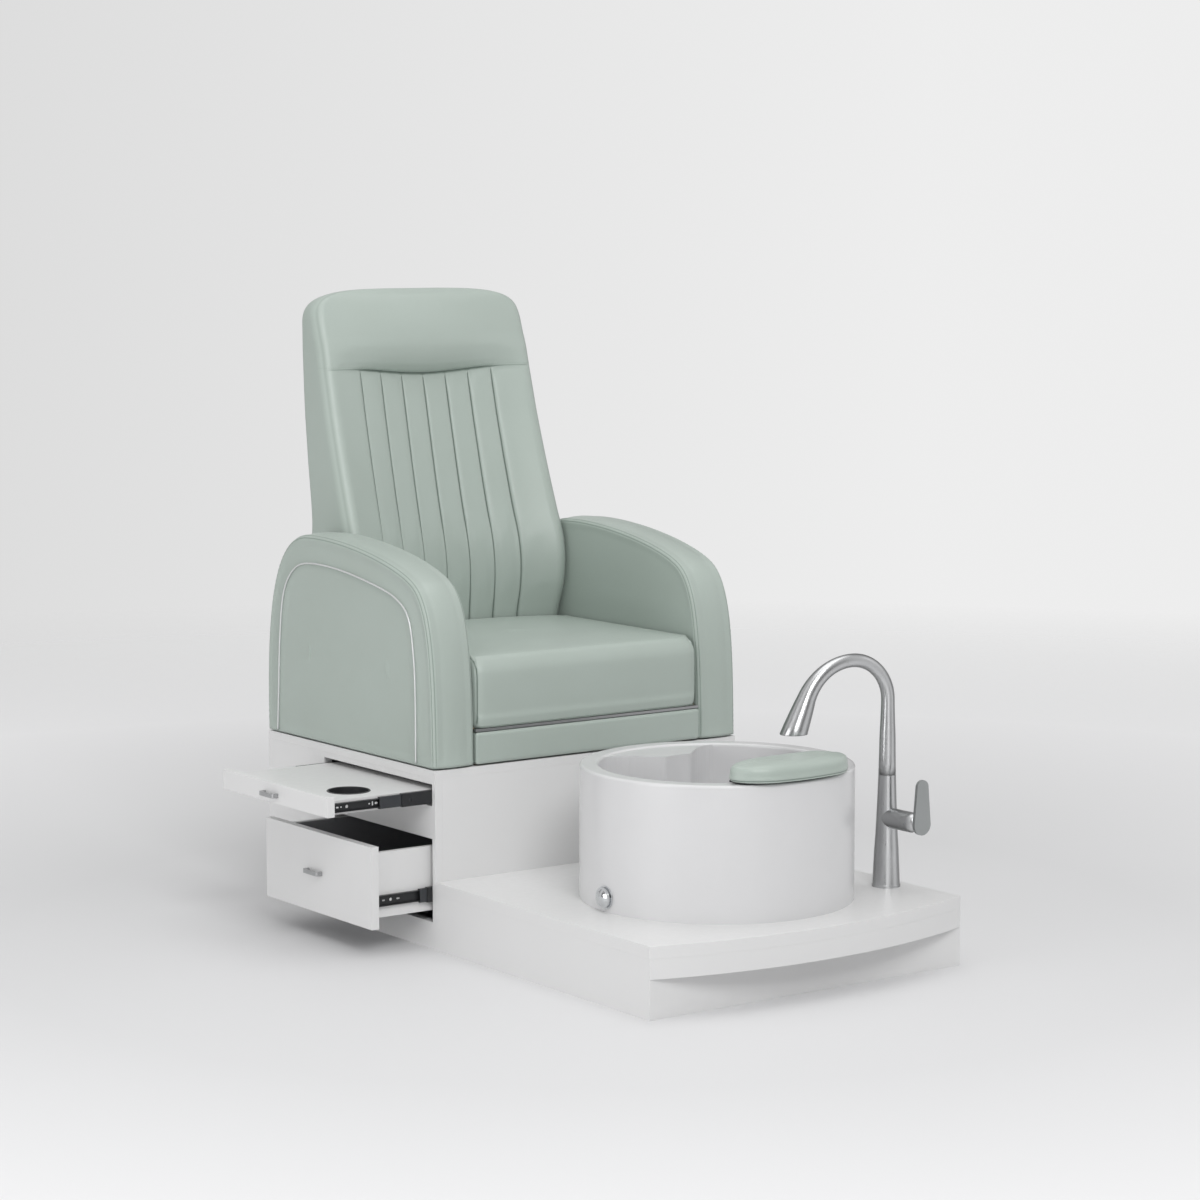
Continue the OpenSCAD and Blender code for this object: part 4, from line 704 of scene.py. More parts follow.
@dataclass(frozen=True)
class Metal(Finish):
    """Metal, brushed along one axis or polished; with drawn set, a tube's colour gets painted dark
    reflections at its sides by the view angle.
    """

    stretch: tuple[float, float, float] = (2500.0, 2500.0, 60.0)
    scratch: float = 0.00005
    uneven: float = 0.12
    # drawn: anisotropy of the highlight, which also turns on painted dark reflections at a tube's sides
    drawn: float = 0.0

    def surface(self, graph: Graph, vector: Socket, shader: bpy.types.Node) -> None:
        """Streaks roughen, tint and groove the metal along its brushing; with drawn set, the view angle
        paints dark reflections on the tube's sides.

        Args:
            graph: writer in the material's tree.
            vector: the piece's own coordinates.
            shader: the shader to feed.
        """
        feeds = {"Vector": vector, "Stretch": self.stretch}
        height = self.effect(graph, Effect.BRUSHED, feeds, "Height")
        streak = self.effect(graph, Effect.BRUSHED, feeds, "Streak")
        base = self.effect(graph, Effect.CLOUDS, {"Colour": tint(self.colour), "Vector": vector,
                                                  "Size": 0.05, "Amount": 0.1})
        dark = graph.fit(streak, 0.35, 0.65, 0.95, 1.0)
        # painted reflection: the colour is darkened across the tube's sides by the view angle, less so at
        # its grazing rims
        if self.drawn:
            facing = graph.add("LayerWeight", {"Blend": 0.5}, "Facing")
            side = graph.fit(facing, 0.3, 0.6, 1.0, 0.42)
            rim = graph.fit(facing, 0.7, 0.95, 0.0, 0.4)
            dark = graph.math("MULTIPLY", dark, graph.math("ADD", side, rim))
            shader.inputs["Anisotropic"].default_value = self.drawn
            graph.link(graph.add("CombineXYZ", {"X": 0.0, "Y": 0.0, "Z": 1.0}), shader.inputs["Tangent"])
        graph.link(graph.add("HueSaturation", {"Value": dark, "Color": base}), shader.inputs["Base Color"])
        graph.link(graph.fit(streak, 0.35, 0.65, max(self.roughness - self.uneven / 2, 0.02),
                             self.roughness + self.uneven / 2), shader.inputs["Roughness"])
        graph.link(graph.add("Bump", {"Height": height, "Distance": self.scratch, "Strength": 0.5}),
                   shader.inputs["Normal"])


@dataclass(frozen=True)
class Timber(Finish):
    """Bare plywood with the grain of its veneer."""

    late: str = "A9804F"
    pore: str = "6E4E2C"

    def surface(self, graph: Graph, vector: Socket, shader: bpy.types.Node) -> None:
        """Growth lines and pores between a light and a dark wood colour.

        Args:
            graph: writer in the material's tree.
            vector: the piece's own coordinates.
            shader: the shader to feed.
        """
        feeds = {"Vector": vector, "Stretch": (6.0, 22.0, 55.0)}
        line = self.effect(graph, Effect.VENEER, feeds, "Line")
        pore = self.effect(graph, Effect.VENEER, feeds, "Pore")
        wood = graph.add("Mix", {0: line, 6: tint(self.colour), 7: tint(self.late)}, 2,
                         data_type="RGBA")
        deep = graph.add("Mix", {0: graph.math("MULTIPLY", pore, 0.35), 6: wood, 7: tint(self.pore)}, 2,
                         data_type="RGBA")
        graph.link(deep, shader.inputs["Base Color"])
        graph.link(graph.fit(pore, 0, 1, self.roughness, self.roughness + 0.15), shader.inputs["Roughness"])
        graph.link(graph.add("Bump", {"Height": line, "Distance": 0.0001, "Strength": 0.5}),
                   shader.inputs["Normal"])


SAGE = Leather("sage_leather", "sage_upholstery", "A8B3AC", 0.38)
SAGE_THREAD = Moulded("sage_thread", "sage_upholstery", "8FA094", 0.6, peel=0.0005)
WHITE_BOARD = Laminate("satin_board", "white_laminate", "DBDBDB", 0.36)
ACRYLIC = Moulded("satin_acrylic", "white_acrylic", "D2D2D3", 0.24, coat=0.3, peel=0.012)
PLY = Timber("bare_plywood", "plywood", "D2B183", 0.6)
# drawn gives the tap's tubes painted dark reflections at their sides
TAP_STEEL = Metal("brushed_tap_steel", "brushed_tap", "CDCECF", 0.3, 1.0, scratch=0.000012,
                  uneven=0.06, drawn=0.8)
LEVER_STEEL = Metal("lever_steel", "brushed_tap", "A9ACAC", 0.36, 1.0,
                    stretch=(2500.0, 2500.0, 50.0), scratch=0.00002)
PULL_STEEL = Metal("pull_steel", "satin_steel", "B4B5B6", 0.3, 1.0, stretch=(2500.0, 60.0, 2500.0))
TRIM_STEEL = Metal("trim_steel", "satin_steel", "A5A6A7", 0.35, 1.0, stretch=(60.0, 2500.0, 2500.0))
CHROME = Metal("chrome", "chrome_fittings", "D8DADC", 0.08, 1.0, scratch=0.000005, uneven=0.04)
CAGE_STEEL = Metal("ball_cage_steel", "cage_steel", "55575A", 0.34, 1.0, stretch=(60.0, 2500.0, 2500.0))
SLIDE_BLACK = Moulded("slide_black", "black_steel", "2C2D2F", 0.36, 0.3, peel=0.002)
SCREW_ZINC = Metal("zinc", "zinc_bolts", "B9BABB", 0.28, 1.0)
SCREW_BRIGHT = Moulded("screw_plating", "zinc_bolts", "E6E7E8", 0.3, 0.2)
BRASS = Metal("brass", "brass_nuts", "C29A4A", 0.26, 1.0)
CUP_BLACK = Moulded("cup_black", "black_cup", "2B2C2E", 0.42, peel=0.0012, depth=0.00008)
LINER_BLACK = Moulded("liner_black", "black_board", "919295", 0.5, peel=0.0009, depth=0.0001)
BRACKET_BLACK = Moulded("bracket_black", "black_bracket", "26272A", 0.4)
PIPE_WHITE = Moulded("pipe_white", "white_pipe", "E4E5E4", 0.34)
HOSE_BLACK = Moulded("hose_black", "black_hose", "1B1C1D", 0.5, peel=0.0015)
NOZZLE_GREY = Moulded("nozzle_grey", "grey_nozzle", "4A4C4E", 0.45, peel=0.0015)
RUBBER = Moulded("glide_rubber", "rubber_glides", "1E1E1E", 0.7, peel=0.001)
PIPING_SILVER = Metal("silver_cord", "silver_piping", "D8DADA", 0.34, 0.35, scratch=0.000004, uneven=0.04)


def dress(thing: Thing, finish: Finish) -> Thing:
    """Give a piece its finish in every material slot.

    Args:
        thing: the piece.
        finish: its finish.

    Returns:
        The piece.
    """
    if thing.material_slots:
        for slot in thing.material_slots:
            slot.material = finish.material()
    else:
        thing.data.materials.append(finish.material())
    return thing


def place(thing: Thing, finish: Finish, body: str, *nodes: str) -> None:
    """Dress a new piece, let it ride on a body and stand for the nodes it replaces.

    Args:
        thing: the piece.
        finish: its finish.
        body: the body that carries it.
        *nodes: nodes that it replaces.
    """
    dress(thing, finish)
    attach(thing, body)
    if nodes:
        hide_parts(*nodes)
    LOG.info("%s: %d faces on %s", thing.name, len(thing.data.polygons), body)


# ---- Upholstery --------------------------------------------------------------


@dataclass(frozen=True)
class Datum:
    """Places that several pieces share."""

    pedestal_y: float = 29.5
    chair_z: float = 386.0
    seat_half: float = 296.5
    seat_top: float = 620.0


DATUM = Datum()


def pucker(run: Array, away: Array, seed: float, height: float) -> Array:
    """Small gathers beside a seam.

    A wave along the seam, whose length drifts about 12 mm and whose height
    comes and goes, dies away as a bell over the distance from it.

    Args:
        run: distance along the seam in millimetres.
        away: distance from it.
        seed: offset that makes each seam's gathers its own.
        height: height of a gather.

    Returns:
        Depth at each point.
    """
    wave = np.sin(run * 2 * np.pi / 12 + 2.1 * np.sin(run / 41 + seed) + seed)
    return height * (0.5 + 0.5 * np.sin(run / 67 + 2 * seed)) * wave * hump(away, 9)


def grid_columns(*parts: tuple[int, Array]) -> Array:
    """Places around a ring: each side's number plus its shares from 0 up to 1."""
    return np.concatenate([side + np.asarray(share, float) for side, share in parts])


@dataclass
class Back:
    """Back cushion: six sewn channels between bolsters, under a headrest roll.

    Attributes:
        wing_at: distance from the middle at which the lines of the wings are given.
        foot: height of the cover's foot, hidden behind the seat.
        crown_drop: height over which the top rounds off.
        lean_z, lean: height and angle, in degrees, of the lean backwards.
        pitch: width of a channel.
        bolster_ease: width over which a bolster eases into its crease.
        seam_rise: how far the headrest's seam rises at the sides.
        soften: half the height over which the profile is averaged.
        top_roll: height of the rows that close the top.
        tuck: depth of the headrest's seam.
        fill, cap: how far inside its form the cover starts, and its furthest move.
        body_line, head_line, wing_line, head_wing, rear_line, width_line: lines up the back
            as [share of the height, offset].
    """

    half: float = DATUM.seat_half
    wing_at: float = 280.0
    face: float = 589.5
    rear: float = 704.5
    foot: float = 464.0
    chair_z: float = DATUM.chair_z
    height: float = 988.0
    headrest: float = 196.0
    crown_drop: float = 94.0
    lean_z: float = 801.0
    lean: float = 12.6
    pitch: float = 61.0
    channels: int = 6
    channel_depth: float = 5.0
    crease_depth: float = 2.4
    crease_w: float = 1.35
    bolster_ease: float = 22.0
    seam_rise: float = 16.0
    soften: float = 90.0
    edge_r: float = 28.0
    rear_r: float = 14.0
    top_roll: float = 46.0
    tuck: float = 3.0
    stitch_off: float = 5.5
    fill: float = 3.0
    cap: float = 2.5
    seat_top: float = DATUM.seat_top
    body_line: Knots = field(default_factory=lambda: [
        (0, 2), (0.2, 0), (0.34, -7), (0.43, -3.5), (0.53, 8), (1, 10)])
    head_line: Knots = field(default_factory=lambda: [
        (0, 0), (0.12, -23), (0.3, -30), (0.55, -22), (0.75, -6), (0.91, 14), (1, 38)])
    head_wing: Knots = field(default_factory=lambda: [
        (0, 37), (0.12, 5), (0.3, -12), (0.55, -21), (0.75, -19), (0.91, -12), (1, 0)])
    wing_line: Knots = field(default_factory=lambda: [
        (0, 38), (0.2, 40), (0.33, 66), (0.48, 74), (0.76, 54), (1, 37)])
    rear_line: Knots = field(default_factory=lambda: [
        (0, 0), (0.45, 0), (0.62, 24), (0.77, 43), (0.93, 52), (0.97, 44), (1, 26)])
    width_line: Knots = field(default_factory=lambda: [
        (0, 0), (0.42, 0), (0.48, 3), (0.9, 12)])

    @property
    def top(self) -> float:
        """Height of the top edge."""
        return self.chair_z + self.height

    @property
    def seam_z(self) -> float:
        """Height of the headrest's seam at the middle."""
        return self.top - self.headrest

    @property
    def sewn(self) -> float:
        """Distance from the middle to the outermost channel seam."""
        return self.channels / 2 * self.pitch

    @property
    def flat(self) -> float:
        """Half width of the front between its round corners, where the back is widest."""
        return self.half - self.edge_r

    def line(self, z: Array) -> Array:
        """Front of the middle at height z: a running average of the profile, away from its ends.

        Args:
            z: heights.

        Returns:
            y at each height.
        """
        edge, fade = self.soften + 2, self.soften / 1.5
        near = ease((self.seam_z - edge - z) / fade) * ease((z - self.foot - edge) / fade)
        offsets = np.linspace(-self.soften, self.soften, 15)
        weights = hump(offsets, fade)
        soft = sum(w * self.profile(z + o) for w, o in zip(weights, offsets)) / weights.sum()
        return near * soft + (1 - near) * self.profile(z)

    def profile(self, z: Array) -> Array:
        """Front of the middle at height z: the profile's knots plus the lean above the hips.

        Args:
            z: heights.

        Returns:
            y at each height.
        """
        slope = math.tan(math.radians(self.lean))
        low = self.face + knots(self.body_line, z, self.foot, self.seam_z - self.foot) \
            + np.maximum(0, z - self.lean_z) * slope
        high = self.face + self.body_line[-1][1] + (self.seam_z - self.lean_z) * slope \
            + knots(self.head_line, z, self.seam_z, self.headrest)
        return np.where(z < self.seam_z, low, high)

    def wing(self, z: Array) -> Array:
        """How far the front wraps forward at wing_at from the middle, at height z.

        Args:
            z: heights.

        Returns:
            The distance at each height.
        """
        return np.where(z < self.seam_z,
                        knots(self.wing_line, z, self.foot, self.seam_z - self.foot),
                        knots(self.head_wing, z, self.seam_z, self.headrest))

    def width(self, z: Array) -> Array:
        """Half width at height z, rounded off at the top as a curve of the fourth power.

        Args:
            z: heights.

        Returns:
            The half width at each height.
        """
        crown = self.top - self.crown_drop
        u = np.clip((z - crown) / self.crown_drop, 0, 0.999)
        return (self.half - knots(self.width_line, z, self.chair_z, self.height)) * (1 - u ** 4) ** 0.25

    def level(self, z: Array, x: Array) -> Array:
        """Height of a row at x: the rows near the headrest's seam rise at the sides."""
        return z + self.seam_rise * ease(abs(x) / 240) * np.maximum(0, 1 - abs(z - self.seam_z) / 90)

    def surface(self, u: Array, z: Array) -> Array:
        """Skin of the back.

        Each ring is the front line minus the wing times (x / wing_at) squared,
        two round front corners, straight sides, two round rear corners and a
        straight rear.

        Args:
            u: places around: 0-1 front, 1-2 corner, 2-3 side, 3-4 rear corner,
                4-5 rear, 5-6 rear corner, 6-7 side, 7-8 corner.
            z: heights.

        Returns:
            Points (rows, columns, 3).
        """
        z = np.asarray(z, float)[:, None]
        w, front, wing = self.width(z), self.line(z), self.wing(z)
        rear = self.rear + knots(self.rear_line, z, self.chair_z, self.height)
        edge = front - wing * ((w - self.edge_r) / self.wing_at) ** 2
        r = np.maximum(2, np.minimum(np.minimum(self.edge_r, w / 3), (rear - edge) / 2.3))
        back_r = np.minimum(r, self.rear_r)
        bend = front - wing * ((w - r) / self.wing_at) ** 2
        side, t = np.floor(u).astype(int), u - np.floor(u)
        q = np.pi / 2 * t
        xf, xr = self.across(t, w, r), self.across(1 - t, w, back_r)
        flank = (bend + r) + (rear - back_r - bend - r) * np.where(side == 6, 1 - t, t)
        faces = [(xf, front - wing * (xf / self.wing_at) ** 2),
                 (w - r + r * np.sin(q), bend + r - r * np.cos(q)), (w, flank),
                 (w - back_r + back_r * np.cos(q), rear - back_r + back_r * np.sin(q)), (xr, rear),
                 (-w + back_r - back_r * np.sin(q), rear - back_r + back_r * np.cos(q)), (-w, flank),
                 (-w + r - r * np.cos(q), bend + r - r * np.sin(q))]
        shape = np.broadcast_shapes(z.shape, u.shape)
        where = [np.broadcast_to(side == k, shape) for k in range(8)]
        x = np.select(where, [np.broadcast_to(f[0], shape) for f in faces])
        y = np.select(where, [np.broadcast_to(f[1], shape) for f in faces])
        return np.stack([x, y, self.level(z, x)], axis=-1)

    def across(self, t: Array, w: Array, r: Array) -> Array:
        """Distance from the middle at share t of the front; the channels keep their share of w.

        Args:
            t: shares across the front.
            w: half width of each row.
            r: corner radius of each row.

        Returns:
            x at each share and row.
        """
        wide, k = (2 * t - 1) * self.flat, w / self.half
        share = (abs(wide) - self.sewn) / (self.flat - self.sewn)
        outer = k * self.sewn + share * (w - r - k * self.sewn)
        return np.where(abs(wide) <= self.sewn, k * wide, np.sign(wide) * outer)

    def columns(self, inner: list[float], outer: list[float], round_n: int, side_n: int) -> Array:
        """Places around the back, with lines on every channel seam.

        Args:
            inner: distances from a channel's left seam.
            outer: distances from the middle outside the channels.
            round_n: columns on a corner.
            side_n: columns on a side.

        Returns:
            The places, rising from 0 to below 8.
        """
        middle = [(-self.channels / 2 + i) * self.pitch + v for i in range(self.channels) for v in inner]
        wide = np.array([-v for v in outer[::-1]] + middle[1:] + outer[:-1])
        t = (wide / self.flat + 1) / 2
        corner, side = np.arange(round_n) / round_n, np.arange(side_n) / side_n
        return grid_columns((0, t), (1, corner), (2, side), (3, corner), (4, t),
                            (5, corner), (6, side), (7, corner))

    def rows(self, step: float, seam_steps: list[float]) -> Array:
        """Heights of the rows, closer beside the headrest's seam and at the top.

        Args:
            step: distance of the other rows.
            seam_steps: distances from the headrest's seam.

        Returns:
            The heights, rising.
        """
        low, high = self.seam_z + seam_steps[0], self.seam_z + seam_steps[-1]
        crown = self.top - self.top_roll
        lower = np.linspace(self.foot, low, max(2, int((low - self.foot) / step)))[:-1]
        upper = np.linspace(high, crown, max(2, int((crown - high) / step)))[1:]
        round_off = crown + self.top_roll * np.sin(np.linspace(0, np.pi / 2, int(60 / step) + 4))[1:]
        return np.concatenate([lower, self.seam_z + np.array(seam_steps), upper, round_off])

    def closed(self, grid: Array) -> Array:
        """The grid with its first and last rows gathered to a point."""
        ends = [np.broadcast_to(grid[k].mean(axis=0), grid[k].shape)[None] for k in (0, -1)]
        return np.concatenate([ends[0], grid, ends[1]])

    def filled(self, u: Array, z: Array) -> Array:
        """Moves of the stuffed cover at places u and heights z, from the cloth simulation.

        The cover is held along the channel seams, the headrest's seam and its
        foot.  Only the middle of the front above the seat keeps its moves.

        Args:
            u: places around.
            z: heights.
        """
        coarse_u = self.columns([0, 10, 20, 30.5, 41, 51], [183, 197, 212, 226, 240, 254, 268.5], 4, 8)
        coarse_z = self.rows(11, [-14, -6, 0, 6, 14])
        grid = self.surface(coarse_u, coarse_z)
        wide = (2 * coarse_u - 1) * self.flat
        seam = (coarse_u < 1) & (abs(wide / self.pitch - np.round(wide / self.pitch)) < 0.01) \
            & (abs(wide) < self.sewn + 1)
        held = np.where(seam[None, :] & (coarse_z[:, None] < self.seam_z), 1.0, 0.0)
        held = np.maximum(held, hump(coarse_z - self.seam_z, 5)[:, None])
        held = np.maximum(held, np.where(coarse_z < self.foot + 60, 1.0, 0.0)[:, None])
        held[-1] = 1
        middle = np.where(coarse_u < 1, ease((self.flat - abs(wide)) / 50), 0)
        free = middle[None] * ease((coarse_z - self.seat_top) / 50)[:, None] \
            * (1 - ease((coarse_z - self.top + 60) / 50))[:, None]
        move = swell("back_cover", grid, held, self.fill, self.cap) * free[..., None]
        return spread(move, (coarse_z, z), (np.concatenate([coarse_u, [8.0]]), u))

    def channel_relief(self, u: Array, z: Array) -> tuple[Array, Array]:
        """Channels between their seams, on the front below the headrest.

        A channel falls away towards its seams by a power of the distance from
        its middle, and the bolsters ease in beside the outermost seams.

        Args:
            u: places around.
            z: heights.

        Returns:
            Depth below the surface, and the mark of the seams.
        """
        wide = np.where(u < 1, (2 * u - 1) * self.flat, 999.0)
        near = abs(wide / self.pitch - np.round(wide / self.pitch)) * self.pitch
        inside = abs(wide) <= self.sewn + 0.5
        puff = np.where(inside, (1 - 2 * np.minimum(near, self.pitch / 2) / self.pitch) ** 5,
                        np.clip(1 - (abs(wide) - self.sewn) / self.bolster_ease, 0, 1) ** 4)
        line = np.where(inside | (abs(wide) < self.sewn + 4), hump(near, self.crease_w), 0)
        fade = (ease((self.seam_z + 2 - z) / 14) * ease((z - self.foot) / 30))[:, None]
        gathers = pucker(z[:, None], near[None, :], 0.7, 0.3) * inside
        return fade * (self.channel_depth * puff + self.crease_depth * line + gathers), fade * line

    def head_relief(self, u: Array, z: Array, x: Array) -> tuple[Array, Array]:
        """Seam under the headrest and the seam up each front corner.

        The headrest's seam is tucked in deep over the channels, runs on
        shallow to the corners and dies away on them.

        Args:
            u: places around.
            z: heights.
            x: place of each point along the headrest's seam.

        Returns:
            Depth below the surface, and the mark of the seams.
        """
        side, t = np.floor(u).astype(int), u - np.floor(u)
        turn = np.where(side == 1, t, np.where(side == 7, 1 - t, 1.0 * (side > 0)))
        wrap = (1 - ease(turn * 2))[None, :]
        corner = hump((turn - 0.5) * self.edge_r * np.pi / 2, 0.9) * ((side == 1) | (side == 7))
        over = (z - self.seam_z)[:, None]
        channels = ease((self.sewn + 40 - abs(2 * t - 1) * self.flat) / 70)
        roll = wrap * np.where(side == 0, channels, 0.0)[None, :]
        depth = roll * self.tuck * hump(over, 5) + (0.6 * wrap + 1.4 * roll) * hump(over, 1.3) \
            + 0.5 * corner[None] + pucker(x, over, 2.2, 0.45) * wrap
        return depth, np.maximum((0.45 * wrap + 0.55 * roll) * hump(over, 1.4), 0.2 * corner[None])

    def build(self) -> None:
        """Cushion with its channels, creases and tucked headrest seam, and the seam's stitches."""
        offsets = [0, 0.9, 2, 4, 7.5, 12, 18, 24, 30.5, 37, 43, 49, 53.5, 57, 59, 60.1]
        outer = [183, 184, 186, 190, 195, 202, 210, 220, 230, 240, 250, 260, 268.5]
        u = self.columns(offsets, outer, 8, 18)
        z = self.rows(4.6, [-16, -11, -8, -5.5, -3.5, -2, -1, 0, 1, 2, 3.5, 5.5, 8, 11, 16])
        grid = self.surface(u, z) + self.filled(u, z)
        channel_depth, channel_mark = self.channel_relief(u, z)
        head_depth, head_mark = self.head_relief(u, z, grid[..., 0])
        grid = grid - normals(grid) * (channel_depth + head_depth)[..., None]
        # seam mark: painted shade and more roughness along the channel seams, the headrest's seam and the
        # seams up the front corners
        mark = np.pad(np.maximum(channel_mark, head_mark), ((1, 1), (0, 0)))
        thing = skin("back_cushion_cover", [self.closed(grid)], [mark])
        place(thing, SAGE, "platform", "back_cushion")
        front = np.roll(np.flatnonzero((u < 2) | (u > 7)), np.count_nonzero(u > 7))
        row = int(np.argmin(abs(z - self.seam_z - self.stitch_off)))
        stitches = thread("headrest_stitches", [(grid[row, front], normals(grid)[row, front])])
        place(stitches, SAGE_THREAD, "platform")


@dataclass
class Seat:
    """Seat cushion over a metal strip and the padded apron below it.

    Attributes:
        gap: clearance to the back.
        seam_in: distance of the side seams from the sides.
        corner: power of the curve that rounds the corners; a higher one is squarer.
        fill, cap: how far inside its form the cover starts, and its furthest move.
    """

    half: float = DATUM.seat_half
    face: float = 26.5
    floor: float = 462.0
    height: float = 154.0
    crown: float = 9.0
    gap: float = 0.3
    seam_in: float = 7.0
    corner: float = 26.0
    fill: float = 2.5
    cap: float = 6.0
    apron_low: float = DATUM.chair_z
    apron_h: float = 67.0
    apron_t: float = 20.0
    apron_back: float = 46.2
    apron_r: float = 5.0

    def rows(self, finer: int) -> Array:
        """Rows of the skin [z, drawn in, front drawn in, share of the ring], smooth through knots.

        Args:
            finer: rows from knot to knot.

        Returns:
            The rows.
        """
        h = self.height
        table = [(0, 8, 8, 0), (0, 8, 8, 0.6), (0, 8, 8, 0.985), (1.2, 5.4, 5.4, 1), (6, 2, 2, 1),
                 (30, 0, 0, 1), (h - 75, 0, 0, 1), (h - 45, 0, 0.4, 1), (h - 30, 0.5, 3, 1),
                 (h - 16, 2, 9.5, 1), (h - 6, 5, 18, 1), (h, 12, 30, 1),
                 (h + self.crown * 0.45, 12, 30, 0.85), (h + self.crown * 0.85, 12, 30, 0.6),
                 (h + self.crown, 12, 30, 0.3), (h + self.crown * 1.02, 12, 30, 0)]
        last = len(table) - 1
        return through(np.arange(len(table)), np.array(table, float), np.linspace(0, last, last * finer + 1))

    def ring(self, n: int) -> Array:
        """Points of a square of half side 1, n to a side and closer at its corners.

        Args:
            n: points to a side.

        Returns:
            The points (4 n, 2).
        """
        t = np.linspace(-1, 1, n, endpoint=False)
        s = 1.5 * t - 0.5 * t ** 3
        one = np.ones(n)
        return np.concatenate([np.stack(p, axis=1) for p in ((s, -one), (one, s), (-s, one), (-one, -s))])

    def surface(self, square: Array, rows: Array, back: Back) -> Array:
        """Skin of the seat.

        A ring is a curve of a high power, |x|^n + |y|^n = 1, drawn in by
        its row, wrapped round the back's front, and shrunk about its middle
        by the row's share.

        Args:
            square: places around, on a square of half side 1.
            rows: the skin's rows.
            back: the back that the seat ends at.

        Returns:
            Points (rows, columns, 3).
        """
        power = np.sum(abs(square) ** self.corner, axis=1) ** (-1 / self.corner)
        sx, sy = square[:, 0] * power, square[:, 1] * power
        z, d, f, k = (rows[:, j:j + 1] for j in range(4))
        level = np.array([self.floor + self.height])
        near, wing = float(back.line(level)[0]), float(back.wing(level)[0])
        x = (self.half - d) * sx
        y0, y1 = self.face + f, near - self.gap - d
        y = (y0 + y1) / 2 + sy * (y1 - y0) / 2 - np.maximum(sy, 0) * wing * (x / back.wing_at) ** 2
        middle = (self.face + near) / 2
        return np.stack([x * k, middle + (y - middle) * k, self.floor + z + 0 * x], axis=-1)

    def filled(self, back: Back, finer: int, n: int, coarse_finer: int = 3, coarse_n: int = 18) -> Array:
        """Moves of the stuffed cover, which is held low; its sides press on the arms.

        Args:
            back: the back that the seat ends at.
            finer: rows of the cover to each knot of its table.
            n: columns of the cover to a side.
            coarse_finer: the simulated grid's rows to each knot.
            coarse_n: its columns to a side.

        Returns:
            The moves of the cover's points.
        """
        square, rows = self.ring(n), self.rows(finer)
        ring, rough = self.ring(coarse_n), self.rows(coarse_finer)
        grid = self.surface(ring, rough, back)
        held = np.where(rough[:, 0] < 20, 1.0, 0.0)[:, None] * np.ones(len(ring))
        held[-1] = 0
        free = np.where(abs(grid[..., 0]) > self.half - 9, 0.0, 1.0) \
            * ease((575 - grid[..., 1]) / 60)
        move = swell("seat_cover", grid, held, self.fill, self.cap) * free[..., None]
        return spread(move, (np.arange(len(rough)) / coarse_finer, np.arange(len(rows)) / finer),
                      (np.arange(len(ring) + 1) / coarse_n, np.arange(len(square)) / n))

    def build(self, back: Back) -> None:
        """Cushion with its side seams, and the apron below it.

        Args:
            back: the back that the seat ends at.
        """
        finer, n = 8, 84
        grid = self.surface(self.ring(n), self.rows(finer), back) + self.filled(back, finer, n)
        out = normals(grid)
        off = abs(abs(grid[..., 0]) - (self.half - self.seam_in))
        shown = (abs(out[..., 0]) < 0.9) * ease((grid[..., 2] - self.floor - 4) / 8)
        # seam mark: painted shade and more roughness along the side seams
        line = hump(off, 1.3) * shown
        run = grid[..., 2] - grid[..., 1]
        depth = 1.4 * line + shown * pucker(run, off, 1.1, 0.4)
        thing = skin("seat_cushion_cover", [grid - out * depth[..., None]], [line])
        place(thing, SAGE, "platform", "seat_cushion")
        self.apron()

    def apron(self) -> None:
        """Apron: a shallow pad with round corners, each ring drawn in and brought forward."""
        r = self.apron_r
        table = np.array([(0, 0, 1), (self.apron_t - r, 0, 1), (self.apron_t - r / 2, r * 0.13, 1),
                          (self.apron_t - 1, r * 0.5, 1), (self.apron_t, r, 1), (self.apron_t + 0.6, r, 0.9),
                          (self.apron_t + 1, r, 0.5), (self.apron_t + 1, r, 0)])
        rows = through(np.arange(8), table, np.linspace(0, 7, 50))
        rows = np.concatenate([[[0, 0, 0]], rows])
        w, low, high = self.half, self.apron_low, self.apron_low + self.apron_h
        corners = [arc((w - r, low + r), r, -90, 0, 6), arc((w - r, high - r), r, 0, 90, 6),
                   arc((-w + r, high - r), r, 90, 180, 6), arc((-w + r, low + r), r, 180, 270, 6)]
        edge = np.concatenate([part for k, c in enumerate(corners) for part in (
            c, np.linspace(c[-1], corners[(k + 1) % 4][0], 41)[1:-1])])
        middle = np.array([0, (low + high) / 2])
        reach = np.array([w, (high - low) / 2])
        flat = middle + (edge - middle)[None] * (1 - rows[:, 1, None, None] / reach) * rows[:, 2, None, None]
        grid = np.stack([flat[..., 0], self.apron_back - rows[:, :1] + 0 * flat[..., 0], flat[..., 1]],
                        axis=-1)
        thing = skin("seat_apron_cover", [grid])
        place(thing, SAGE, "platform", "seat_apron")


